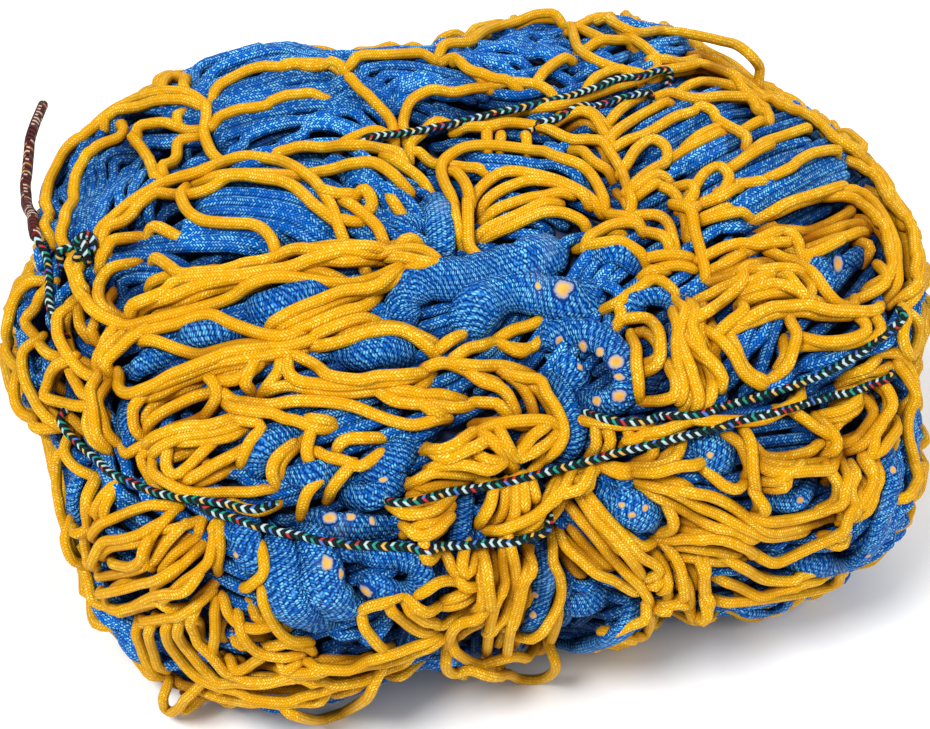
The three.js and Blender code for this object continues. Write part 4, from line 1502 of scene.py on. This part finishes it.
def strand_flow(rows):
    """The flow past rows of places."""
    mids, turns = [], []
    for row in rows:
        line = spline(row, STRAND_STEP)
        step = np.diff(line, axis=0)
        mids.append((line[1:] + line[:-1]) / 2)
        turns.append(np.arctan2(step[:, 1], step[:, 0]) * 2)
    return flow_past(np.concatenate(mids), np.concatenate(turns), STRAND_NEAR, STRAND_POWER)


# The picture in squares of dots: those that see the bundle, and finer ones that a hank has taken
SEEN_CELL = 6
TAKEN_CELL = 3

# Hanks: the first place, how far places stray, their steps in dots, the fewest of them, and the room beside
HANK_FIRST = 6
HANK_STRAY = 4
HANK_STEP = 5.0
HANK_LEAST = 7
HANK_ROOM = 0.8


def seen_from(outlook):
    """Which squares of the picture see the bundle."""
    x, y = np.meshgrid(np.arange(0, PICTURE[0], SEEN_CELL), np.arange(0, PICTURE[1], SEEN_CELL))
    spots = dots(np.stack((x.ravel(), y.ravel()), -1))
    gap = meet(outlook, spots, 0.0)[2]
    return (gap < TOUCH).reshape(x.shape)


def hanks(outlook, flow, draws, spacing, longest, within=None):
    """Even lines that follow the flow all over what the outlook sees, as dots of the picture."""
    inside = seen_from(outlook)
    taken = np.zeros((PICTURE[1] // TAKEN_CELL + 2, PICTURE[0] // TAKEN_CELL + 2), bool)
    x, y = np.meshgrid(
        np.arange(HANK_FIRST, PICTURE[0], spacing), np.arange(HANK_FIRST, PICTURE[1], spacing)
    )
    seeds = np.stack((x.ravel(), y.ravel()), -1).astype(float)
    seeds += draws.uniform(-HANK_STRAY, HANK_STRAY, seeds.shape)
    draws.shuffle(seeds)
    reach = int(spacing * HANK_ROOM / TAKEN_CELL)

    def blocked(p):
        if not (0 <= p[0] < PICTURE[0] and 0 <= p[1] < PICTURE[1]):
            return True
        if not inside[int(p[1]) // SEEN_CELL, int(p[0]) // SEEN_CELL]:
            return True
        if within is not None and not within(p):
            return True
        return taken[int(p[1]) // TAKEN_CELL, int(p[0]) // TAKEN_CELL]

    def run_from(seed, sign):
        p, way, run = seed.copy(), None, []
        for _ in range(int(longest / HANK_STEP / 2)):
            step = flow(p)
            if way is None:
                step = step * sign
            elif step @ way < 0:
                step = -step
            way = step
            p = p + step * HANK_STEP
            if blocked(p):
                break
            run.append(p.copy())
        return run

    lines = []
    for seed in seeds:
        if blocked(seed):
            continue
        line = run_from(seed, 1)
        line = run_from(seed, -1)[::-1] + [seed] + line
        if len(line) < HANK_LEAST:
            continue
        lines.append(np.array(line))
        for p in line:
            cx, cy = int(p[0]) // TAKEN_CELL, int(p[1]) // TAKEN_CELL
            taken[max(0, cy - reach) : cy + reach + 1, max(0, cx - reach) : cx + reach + 1] = True
    return lines


# Which stretch of a line is laid: its least length, more at its ends, and how deep or covered it is
STRETCH_LEAST = 15
BARE_LEAST = 9
STRETCH_MORE = 4
PLAIN_MORE = 5
HIDDEN_DEPTH = 9.0
BARE_COVER = 1.0
PLAIN_COVER = 9.0


def longest_run(line, wanted, more, least=STRETCH_LEAST):
    """The longest stretch of a line where wanted holds, with a little more at its ends."""
    best, start = (0, 0), None
    for k, state in enumerate(list(wanted) + [False]):
        if state and start is None:
            start = k
        if not state and start is not None:
            if k - start > best[1] - best[0]:
                best = (start, k)
            start = None
    if best[1] - best[0] < least:
        return None
    return line[max(0, best[0] - more) : best[1] + more]


def touching(line):
    """Where a line touches the bundle."""
    return line[:, 3] < TOUCH


def hidden(line):
    """Where the front doesn't show a line."""
    away = meet(FRONT, FRONT.spot(line[:, :3]), 0.0)[1]
    return np.linalg.norm(line[:, :3] - FRONT.eye, axis=1) > away + HIDDEN_DEPTH


def covered(line):
    """How much lies over the bundle's first layer along a line."""
    cells = cell_of(line[:, :3] - MIDDLE)
    return top_height[cells] - first_height[cells]


def unseen(line):
    """The stretch that the front doesn't show."""
    return longest_run(line, hidden(line) & touching(line), STRETCH_MORE)


def bare(line):
    """The stretch that no cord covers yet."""
    return longest_run(line, (covered(line) < BARE_COVER) & touching(line), STRETCH_MORE, BARE_LEAST)


def on_bundle(line):
    """The stretch that lies on the bundle."""
    return longest_run(line, touching(line), 0)


def plain_side(line):
    """The stretch that the front doesn't show and only the blue hanks cover."""
    plain = hidden(line) & (covered(line) < PLAIN_COVER) & touching(line)
    return longest_run(line, plain, PLAIN_MORE)


# How a gathered strip's cords close and part: evened out over so many steps, and how far, in dots
SHEAF_EASE = 14
SHEAF_PART = 2.8


def sheaf(points, cords, spread):
    """Side by side lines for a gathered strip of net, closing and parting a little."""
    middle = spline(points, DOTS_PER_MM)
    along = unit(np.gradient(middle, axis=0))
    aside = np.stack((-along[:, 1], along[:, 0]), -1)
    lines = []
    for k in range(cords):
        wobble = smooth(chance.normal(0, 1, len(middle)), SHEAF_EASE) * SHEAF_PART
        off = (k - (cords - 1) / 2) * spread + wobble
        lines.append(middle + aside * off[:, None])
    return lines


# Gathered blue strips that stand out: cords, their spacing and places, in dots
BLUE_STRIPS = (
    (3, 10, "50,250 54,205 64,170 82,146 102,128"),
    (6, 9.5, "76,245 82,210 90,178 104,152 124,140"),
    (6, 10, "176,108 210,92 250,78 295,70 340,78"),
    (5, 10, "172,94 204,76 244,58 290,50 336,58"),
    (4, 10, "200,116 250,90 300,76 336,80 356,96"),
    (8, 9.5, "210,142 255,130 305,112 350,112 392,132"),
    (5, 10, "344,72 395,66 445,74 492,86"),
    (3, 10, "385,98 430,88 475,84"),
    (3, 10, "150,110 178,106 200,108"),
    (3, 10, "130,150 150,140 185,138 200,128"),
    (5, 10, "186,208 235,202 295,210 334,234"),
    (3, 10, "172,236 215,232 262,236 280,252"),
    (2, 11, "83,283 95,268 110,257 130,252 150,248 185,243 250,240"),
    (3, 10, "104,294 118,278 140,268 168,270 180,282"),
    (3, 10, "463,158 500,160 540,166 568,176 590,192"),
    (3, 10, "340,184 358,180 374,192 390,214"),
    (2, 10, "375,170 390,184 402,200"),
    (3, 10, "640,52 668,50 700,50 728,60"),
    (4, 10, "18,296 10,340 12,380 28,414"),
    (4, 10.5, "132,226 138,200 148,180 162,166"),
    (3, 9.5, "104,136 126,118 150,108 176,102"),
    (5, 9.5, "640,152 680,130 720,110 762,102"),
    (5, 9.5, "690,182 730,160 775,140 818,130"),
    (5, 9.5, "735,214 775,190 815,168 852,152"),
    (4, 9.5, "872,462 876,500 866,532 846,552 806,560"),
    (3, 9.5, "892,452 892,496 882,530 858,560"),
)

# Border rope deep in the net, seen through its meshes: width and places, in dots
ROPE_BELOW = (
    (18, "121,398 121,420 122,447"),
    (34, "818,248 834,266 850,292"),
    (22, "846,270 862,258 878,250"),
    (16, "72,468 73,490 72,512 75,528"),
    (20, "170,338 195,335 220,333 238,340"),
    (20, "120,378 140,365 165,357"),
    (30, "232,310 262,308 295,300 328,293"),
    (28, "318,355 350,358 385,352 415,362"),
    (26, "300,437 268,445 250,465 250,485"),
)
ROPE_CENTRE = (
    (26, "432,186 438,215 440,240 436,262"),
    (22, "380,222 402,218 424,226"),
    (24, "590,258 610,250 632,256 650,270"),
    (17, "632,312 645,297 664,300 675,315 669,340 662,365 656,385 650,398"),
    (18, "546,372 562,393 574,415 578,435 571,453 558,470"),
    (24, "553,358 570,368 582,382 590,394"),
    (40, "404,330 400,302 425,282 465,278 505,268 540,256 574,240"),
    (38, "458,338 480,305 515,292 555,298 588,300 604,280"),
    (26, "546,347 565,334 590,335 614,350 627,375 621,398 602,405 584,397"),
)
ROPE_LOWER = (
    (22, "276,482 300,478 320,475 342,469"),
    (34, "355,489 375,475 395,462 414,448"),
    (26, "332,500 360,500 385,492 400,476"),
    (24, "296,528 330,527 360,529 394,535"),
    (34, "232,516 238,545 245,565 238,584"),
    (40, "262,538 275,570 288,600 305,625 328,642"),
    (44, "290,535 310,560 325,590 335,615 342,634"),
    (26, "330,547 365,555 400,558 420,570 415,590 385,592 354,592"),
    (20, "463,488 461,515 458,545 460,566"),
    (22, "545,543 545,575 540,600 533,625 526,644"),
    (14, "598,488 613,498 627,490 625,472"),
    (34, "611,503 635,512 655,525 664,538"),
    (28, "561,617 590,607 619,599"),
    (24, "555,650 585,645 610,638 632,622 641,602"),
)
ROPE_RIGHT = (
    (32, "696,446 720,455 744,474"),
    (26, "764,504 787,503 807,497 827,483"),
    (12, "731,611 755,614 777,610 797,600"),
    (27, "893,441 893,467 895,484 892,505 885,530 877,547 863,562 847,570 827,567 810,564 783,565"),
    (10, "918,468 918,489 908,504"),
)

# The ropes that the back repeats
ROPE_BACK = ROPE_CENTRE[6:] + ROPE_LOWER[4:8] + ROPE_RIGHT[3:4]

# The rope's pale core where its wrapping parts: a place and half its width and height, in dots
CORE_SPOTS = (
    (563, 289, 9.5, 11), (538, 286, 3.5, 5), (578, 274, 5.5, 4.5), (560, 341, 5.5, 6),
    (583, 346, 6.5, 6), (600, 352, 5.5, 5), (616, 362, 8.5, 7.5), (619, 377, 5.5, 4.5),
    (619, 396, 8, 6.5), (597, 401, 5.5, 5.5), (580, 367, 3.5, 4.5), (327, 563, 6, 8),
    (341, 574, 3.5, 6), (366, 591, 8, 8), (362, 572, 9, 4), (330, 518, 8, 6), (351, 517, 5.5, 4),
    (372, 521, 3.5, 4.5), (383, 479, 5.5, 4), (236, 555, 4, 4), (535, 595, 4, 4), (533, 615, 4, 4.5),
    (632, 515, 4.5, 4), (645, 508, 4, 4), (622, 505, 4, 3.5), (893, 470, 4, 4.5), (890, 520, 4, 4.5),
    (868, 556, 4.5, 4), (800, 500, 4.5, 4), (710, 455, 4, 4), (838, 264, 5.5, 9),
)

# Where the yellow net is gathered closely: a place, half its width and height in dots, and its slant
YELLOW_THICK = (
    (888, 242, 76, 27, -60), (700, 350, 26, 62, 0), (762, 274, 52, 38, 0), (868, 425, 34, 46, 20),
    (858, 490, 26, 36, 0), (300, 680, 150, 24, 0), (740, 82, 70, 20, -22), (600, 135, 42, 22, -30),
    (515, 440, 52, 28, 0), (280, 268, 150, 18, 10), (200, 400, 62, 30, 30), (190, 450, 56, 34, 25),
    (620, 437, 40, 18, 0), (665, 455, 26, 14, 10), (520, 505, 56, 34, 20), (425, 515, 34, 26, 12),
    (440, 460, 40, 14, 12), (505, 600, 30, 56, 0), (600, 545, 36, 46, -48), (705, 540, 46, 20, -10),
    (780, 588, 52, 12, 4), (675, 585, 26, 36, 0), (70, 400, 40, 50, 0), (330, 255, 70, 14, 5),
    (620, 210, 30, 26, 0), (440, 630, 30, 30, 0), (250, 640, 40, 40, 0), (100, 320, 34, 40, 60),
    (178, 560, 32, 58, 24), (150, 612, 52, 18, 8), (464, 600, 24, 30, 0),
)


def closely(p):
    """Whether the yellow net is gathered closely at a place in the picture."""
    for x, y, wide, high, slant in YELLOW_THICK:
        turn = -math.radians(slant)
        dx, dy = p[0] - x, p[1] - y
        across = dx * math.cos(turn) + dy * math.sin(turn)
        down = dy * math.cos(turn) - dx * math.sin(turn)
        if (across / wide) ** 2 + (down / high) ** 2 < 1:
            return True
    return False


# Where cords are joined, in dots: how far an end reaches, looks ahead, keeps off its last place, runs free
JOINT_REACH = 13.0
JOINT_AHEAD = 4.0
JOINT_LEAST = 6
FREE_END = 7.0
JOINT_STEP = 3.0


def joined_rows(groups):
    """All rows of places, with each end brought to the nearest other cord, as the net is joined."""
    rows = [places(row) for group in groups for row in group]
    fine = [spline(row, JOINT_STEP) for row in rows]
    joined = []
    for k, row in enumerate(rows):
        others = np.concatenate([line for i, line in enumerate(fine) if i != k])
        row = row.copy()
        for end, inner in ((0, 1), (-1, -2)):
            ahead = unit(row[end] - row[inner])
            gap = np.linalg.norm(others - (row[end] + ahead * JOINT_AHEAD), axis=1)
            near = gap.argmin()
            if gap[near] < JOINT_REACH:
                if np.linalg.norm(others[near] - row[inner]) > JOINT_LEAST:
                    row[end] = others[near]
            else:
                row[end] = row[end] + ahead * FREE_END
        joined.append(row)
    return joined


YELLOW_ROWS = joined_rows(
    (
        YELLOW_UPPER_LEFT,
        YELLOW_LEFT,
        YELLOW_CENTRE,
        YELLOW_UPPER_RIGHT,
        YELLOW_RIGHT,
        YELLOW_LOWER_RIGHT,
        YELLOW_LOWER_MIDDLE,
        YELLOW_LOWER_LEFT,
        YELLOW_LOOSE,
    )
)

# How thick the yellow cord is against its full thickness: a place, in dots, and the share there
CORD_SHARES = (
    (250, 300, 1.0), (680, 180, 0.88), (820, 300, 0.92), (820, 480, 0.88), (560, 560, 0.80),
    (150, 540, 0.78), (300, 680, 0.84), (120, 160, 0.92), (430, 400, 0.95), (500, 450, 0.92),
    (680, 360, 0.92),
)

# How soon the thickness turns to the nearest share, in square dots
SHARE_NEAR = 900.0


def cord_half(row):
    """Half the thickness of the yellow cord through a row of places, thinner where it is pulled tight."""
    place = np.mean(row, axis=0)
    table = np.array(CORD_SHARES)
    weight = 1 / (((table[:, :2] - place) ** 2).sum(1) + SHARE_NEAR)
    return YELLOW_CORD / 2 * (weight * table[:, 2]).sum() / weight.sum()


def mirrored(line):
    """A line of the front's picture as it lies on the back."""
    line = np.array(line, float)
    line[:, 0] = PICTURE[0] - line[:, 0]
    return line


def mirrored_flow(flow):
    """A flow of the front's picture as it runs on the back."""

    def direction(spot):
        return flow(np.array((PICTURE[0] - spot[0], spot[1]))) * (-1, 1)

    return direction


def closely_behind(p):
    """Whether the yellow net is gathered closely at a place on the back."""
    return closely((PICTURE[0] - p[0], p[1]))


def course(row):
    """The smooth course of a cord through a row of places, in steps of a millimetre."""
    return dots(spline(row, DOTS_PER_MM))


# The blue cords' room over the pile's limit: they stay under it
BLUE_ROOM = -3.5

# The border rope: flattened, pressed into the net, and lumpy
ROPE_FLAT = 0.58
ROPE_PRESS = 1.6
ROPE_LUMPS = 0.14
ROPE_EASE = 6.0
ROPE_TUCK = 1.6
ROPE_SIDES = 18
ROPE_STEP = 1.8

# The front's yellow cords, and the tie's string, which is drawn tight
FRONT_SIDES = 10
FRONT_STEP = 2.2
STRING_EASE = 14.0
STRING_TUCK = 4.0
STRING_PRESS = 0.5
STRING_SIDES = 10
STRING_STEP = 1.6


def lay_rope(bunch, outlook, width, row, keep=None):
    """Lays a border rope of a width in dots through a row of places."""
    lay(
        bunch,
        outlook,
        course(row),
        width / 2 / DOTS_PER_MM,
        ease=ROPE_EASE,
        tuck=ROPE_TUCK,
        keep=keep,
        press=ROPE_PRESS,
        flat=ROPE_FLAT,
        sides=ROPE_SIDES,
        step=ROPE_STEP,
        lumps=ROPE_LUMPS,
    )


def lay_blue(bunch, outlook, row, keep=on_bundle):
    """Lays a blue cord through a row of places."""
    lay(bunch, outlook, course(row), BLUE_CORD / 2, keep=keep, room=BLUE_ROOM)


def lay_string(outlook, spots):
    """Lays a stretch of the tie's string through spots."""
    lay(
        string_bunch,
        outlook,
        spots,
        TIE_STRING / 2,
        ease=STRING_EASE,
        tuck=STRING_TUCK,
        press=STRING_PRESS,
        sides=STRING_SIDES,
        step=STRING_STEP,
    )


blue_back = Bunch("blue_cords_back", BLUE_COLUMN)
blue_sides = Bunch("blue_cords_sides", BLUE_COLUMN)
blue_front = Bunch("blue_cords_front", BLUE_COLUMN)
yellow_front = Bunch("yellow_cords_front", YELLOW_COLUMN)
yellow_below = Bunch("yellow_cords_below", YELLOW_COLUMN)
yellow_back = Bunch("yellow_cords_back", YELLOW_COLUMN)
yellow_sides = Bunch("yellow_cords_sides", YELLOW_COLUMN)
rope_centre = Bunch("border_rope_centre", ROPE_COLUMN)
rope_lower = Bunch("border_rope_lower", ROPE_COLUMN)
rope_right = Bunch("border_rope_right_side", ROPE_COLUMN)
rope_back = Bunch("border_rope_back", ROPE_COLUMN)
core_spots = Bunch("border_rope_core", ROPE_COLUMN)
string_bunch = Bunch("tie_string_braided", STRING_COLUMN, TIE_LEAD)
knot_bunch = Bunch("tie_knot_braided", STRING_COLUMN)

blue_flow = slant_flow(BLUE_FLOW)
side_flow = slant_flow(SIDE_FLOW)
yellow_flow = strand_flow(YELLOW_ROWS)
draws = np.random.default_rng(7)

# Hanks in dots: how far apart, and the longest of them, in the first layer and where that leaves gaps
BACK_HANKS = {"spacing": 11.0, "longest": 420}
FRONT_HANKS = {"spacing": 9.5, "longest": 420}
SIDE_HANKS = {"spacing": 11.0, "longest": 520}
GAP_HANKS = {"spacing": 8.0, "longest": 200}
YELLOW_BACK_HANKS = {"spacing": 12.0, "longest": 300}
YELLOW_FRONT_HANKS = {"spacing": 10.5, "longest": 300}

# Back and sides, and the first blue layer of the front
for line in hanks(BACK, blue_flow, draws, **BACK_HANKS):
    lay_blue(blue_back, BACK, line, unseen)
for line in hanks(FRONT, blue_flow, draws, **FRONT_HANKS):
    lay_blue(blue_front, FRONT, line)
for outlook in LOW_SIDES:
    for line in hanks(outlook, side_flow, draws, **SIDE_HANKS):
        lay_blue(blue_sides, outlook, line, bare)
for outlook, bunch in ((FRONT, blue_front), (BACK, blue_back), (ABOVE, blue_back)):
    for line in hanks(outlook, blue_flow, draws, **GAP_HANKS):
        lay_blue(bunch, outlook, line, bare)
for outlook in LOW_SIDES:
    for line in hanks(outlook, side_flow, draws, **GAP_HANKS):
        lay_blue(blue_sides, outlook, line, bare)
for width, row in ROPE_BACK:
    lay_rope(rope_back, BACK, width, mirrored(places(row)), keep=unseen)
for line in hanks(BACK, mirrored_flow(yellow_flow), draws, within=closely_behind, **YELLOW_BACK_HANKS):
    lay(yellow_back, BACK, course(line), cord_half(mirrored(line)), keep=unseen)
for row in YELLOW_ROWS:
    lay(yellow_back, BACK, course(mirrored(row)), cord_half(row), keep=unseen)

# Front
for cords, spread, row in BLUE_STRIPS:
    for line in sheaf(places(row), cords, spread):
        lay_blue(blue_front, FRONT, line)
for width, row in ROPE_BELOW:
    lay_rope(rope_centre, FRONT, width, places(row))
for line in hanks(FRONT, yellow_flow, draws, within=closely, **YELLOW_FRONT_HANKS):
    lay(yellow_below, FRONT, course(line), cord_half(line))
for bunch, rows in ((rope_centre, ROPE_CENTRE), (rope_lower, ROPE_LOWER), (rope_right, ROPE_RIGHT)):
    for width, row in rows:
        lay_rope(bunch, FRONT, width, places(row))
first_loose = len(YELLOW_ROWS) - len(YELLOW_LOOSE)
for k, row in enumerate(YELLOW_ROWS):
    lay(
        yellow_front,
        FRONT,
        course(row),
        cord_half(row),
        sides=FRONT_SIDES,
        step=FRONT_STEP,
        loose=k >= first_loose,
    )

# Yellow on the low sides and on top
for outlook in (*LOW_SIDES, ABOVE):
    for row in YELLOW_ROWS:
        lay(yellow_sides, outlook, course(row), cord_half(row), keep=plain_side)


def rope_surface(bunches):
    """The front's border ropes as one surface that sight lines can meet."""
    points, faces = [], []
    for bunch in bunches:
        first = len(points)
        faces += [tuple(int(n) + first for n in quad) for quad in np.concatenate(bunch.quads)]
        points += [Vector(p) for p in np.concatenate(bunch.points)]
    return BVHTree.FromPolygons(points, faces)


# Pale core: low domes set into the wrapping
rope_tree = rope_surface((rope_centre, rope_lower, rope_right))
for x, y, wide, high in CORE_SPOTS:
    way = FRONT.sight(dots([(x, y)]))[0]
    hit, normal, _, _ = rope_tree.ray_cast(Vector(FRONT.eye), Vector(way))
    if hit is None:
        continue
    out = np.array(normal) if normal @ Vector(way) < 0 else -np.array(normal)
    lean = unit(FRONT.up - out * (FRONT.up @ out))
    core_spots.dome(np.array(hit), out, lean, wide / DOTS_PER_MM, high / DOTS_PER_MM, chance)

# The tie: stretches on the front in dots, and stretches round the back in millimetres of its own outlook
STRING_FRONT = (
    "84,246 72,247 58,252 51,268",
    "55,402 62,425 75,440 110,470 150,490 190,499 230,504 279,509",
    "186,503 240,520 308,537 350,543 400,546 440,546 480,544 540,535 556,516",
    "376,508 395,501 440,493 488,486 555,470 620,452 685,436 750,418 810,402 870,385 908,370",
    "583,414 620,419 660,416 699,411 740,402 778,391 837,367 880,338 918,306",
    "351,139 395,134 436,128 488,115 530,106 567,97 600,86 618,79 650,80 678,80",
    "525,127 567,117 618,99 664,89",
)
STRING_BACK = (
    ((-188, -76), (-120, -100), (-40, -106), (60, -104), (150, -94), (182, -34), (184, 6)),
    ((-190, -40), (-110, -62), (-20, -58), (80, -64), (172, -48)),
    ((-88, -8), (-92, -24), (-90, -40), (-80, -64)),
)
STRING_FROM_TAIL = "40,240 46,252 49,275 49,300 50,345"

# The string's way down from the tail: the first of its places that is kept, and then each so many
FROM_TAIL_FIRST = 9
FROM_TAIL_EVERY = 6
below_tail = cast(FRONT, course(places(STRING_FROM_TAIL)), TIE_STRING / 2, STRING_EASE)
below_tail = settle(
    below_tail[:, :3], TIE_STRING / 2, below_tail[:, 3] > TOUCH, (0, STRING_TUCK), STRING_PRESS
)
below_tail = below_tail[FROM_TAIL_FIRST::FROM_TAIL_EVERY]
below_tail = spline(np.vstack((tail_line[2], tail_line[0], below_tail)), STRING_STEP)
string_bunch.tube(below_tail, TIE_STRING / 2, EVEN_TONE, STRING_SIDES)
for row in STRING_FRONT:
    lay_string(FRONT, course(places(row)))
for row in STRING_BACK:
    lay_string(TIE_BACK, spline(row, 1.0))

# The tie's knot: one turn drawn through itself, where the tail leaves it
KNOT_PLACE = (-171, 52)
KNOT_LIFT = 3.0
KNOT_HALF = 3.9
KNOT_LOOPS = 0.45
KNOT_RISE = 2.0
KNOT_POINTS = 90
ways, away, _ = meet(FRONT, np.array([KNOT_PLACE], float), KNOT_LIFT)
knot_middle = (FRONT.eye + ways * away[:, None])[0]
knot_out = unit(knot_middle - MIDDLE)
knot_right = unit(np.cross((0, 0, 1), knot_out))
knot_up = np.cross(knot_out, knot_right)
turn = np.linspace(0, 2 * math.pi, KNOT_POINTS)
reach = KNOT_HALF * (1 + KNOT_LOOPS * np.cos(3 * turn))
knot_line = (
    knot_middle
    + np.outer(reach * np.cos(2 * turn), knot_right)
    + np.outer(reach * np.sin(2 * turn), knot_up)
    + np.outer(KNOT_RISE * np.sin(3 * turn), knot_out)
)
knot_outward = np.repeat(knot_out[None], KNOT_POINTS, 0)
knot_bunch.tube(knot_line, TIE_STRING / 2, EVEN_TONE, STRING_SIDES, outward=knot_outward)

# The dark inside that shows between the cords: a ball drawn in to the bundle, and then to its first layer
INNER_BALL = 300
bpy.ops.mesh.primitive_ico_sphere_add(subdivisions=6, radius=INNER_BALL * MM, location=MIDDLE * MM)
inner = bpy.context.object
inner.name = "inner_cords"
bpy.ops.object.transform_apply(location=True, rotation=True, scale=True)
wrap = inner.modifiers.new("to_the_bundle", "SHRINKWRAP")
wrap.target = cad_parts["net_blue"]
wrap.wrap_method = "PROJECT"
wrap.use_negative_direction = True
wrap.use_positive_direction = False
bpy.ops.object.modifier_apply(modifier=wrap.name)
bpy.ops.object.mode_set(mode="EDIT")
bpy.ops.mesh.select_all(action="SELECT")
bpy.ops.transform.shrink_fatten(value=-CORE_DEPTH * MM)
bpy.ops.object.mode_set(mode="OBJECT")
bpy.ops.object.shade_smooth()
inner_points = np.array([v.co for v in inner.data.vertices]) * PER_METRE - MIDDLE
inner_reach = first_height[cell_of(inner_points)] - CORE_DEPTH + FIRST_DEPTH
inner_reach = np.minimum(np.linalg.norm(inner_points, axis=1), inner_reach)
inner_points = (MIDDLE + unit(inner_points) * inner_reach[:, None]) * MM
inner.data.vertices.foreach_set("co", inner_points.ravel())
inner.data.update()
inner.data.materials.append(inner_finish())
bpy.ops.object.select_all(action="DESELECT")

canopy_height = canopy()


def depth_between(points):
    """How deep points lie under the outermost cords round them, in millimetres."""
    rel = points - MIDDLE
    return canopy_height[cell_of(rel)] - np.linalg.norm(rel, axis=1)


# The pieces, by finish and slot
for finish, slot, bunches in (
    (yellow_finish, "yellow_cord", (yellow_front, yellow_below, yellow_back, yellow_sides)),
    (blue_finish, "blue_cord", (blue_front, blue_back, blue_sides)),
    (border_finish, "border_rope", (rope_centre, rope_lower, rope_right, rope_back)),
    (core_spot_finish, "border_rope", (core_spots,)),
    (string_finish, "tie_string", (string_bunch, knot_bunch)),
):
    for bunch in bunches:
        piece = bunch.made(finish, depth_between)
        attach(piece, "root")
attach(inner, "root")
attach(tie_tail_string, "root")
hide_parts("tie_tail")
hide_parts("net_yellow")
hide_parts("net_blue")
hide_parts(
    "border_rope_knot", "border_rope_middle", "border_rope_drop"
)
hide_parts("border_rope_lower_left")
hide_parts("border_rope_right_corner", "border_rope_right_end")
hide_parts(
    "tie_string_low", "tie_string_high", "tie_string_top"
)
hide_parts("tie_knot")

# Floor and light, in metres and watts
FLOOR_SIZE = 8
FLOOR_GREY = (0.93, 0.93, 0.93, 1)
FLOOR_WHITE = (0.95, 0.95, 0.95, 1)
FLOOR_ROUGH = 0.9
FLOOR_GLOSS = 0.5
SKY_WHITE = (1, 1, 1, 1)
SKY_POWER = 0.5
LIGHT_AIM = (0, 0, 0.1)
bpy.ops.mesh.primitive_plane_add(size=FLOOR_SIZE)
floor = bpy.context.object
floor.name = "floor"
paper = Finish("pale_floor")
pale = paper.mix(paper.noise(FLOOR_GRAIN), FLOOR_GREY, FLOOR_WHITE)
paper.surface(pale, FLOOR_ROUGH, FLOOR_GLOSS)
floor.data.materials.append(paper.material)

world = bpy.data.worlds.new("studio")
bpy.context.scene.world = world
world.use_nodes = True
sky = world.node_tree.nodes["Background"]
sky.inputs["Color"].default_value = SKY_WHITE
sky.inputs["Strength"].default_value = SKY_POWER


def soft_light(name, place, power, size):
    """A round soft light, turned to the bundle."""
    data = bpy.data.lights.new(name, "AREA")
    data.energy = power
    data.shape = "DISK"
    data.size = size
    lamp = bpy.data.objects.new(name, data)
    bpy.context.scene.collection.objects.link(lamp)
    lamp.location = place
    lamp.rotation_mode = "QUATERNION"
    lamp.rotation_quaternion = (Vector(LIGHT_AIM) - Vector(place)).to_track_quat("-Z", "Y")


soft_light("main_light", (-0.7, -0.9, 1.7), 36, 0.6)
soft_light("right_light", (1.3, -0.7, 1.1), 10, 1.0)
soft_light("back_light", (0.6, 1.4, 1.2), 11, 1.0)
bpy.context.scene.view_settings.view_transform = "Standard"
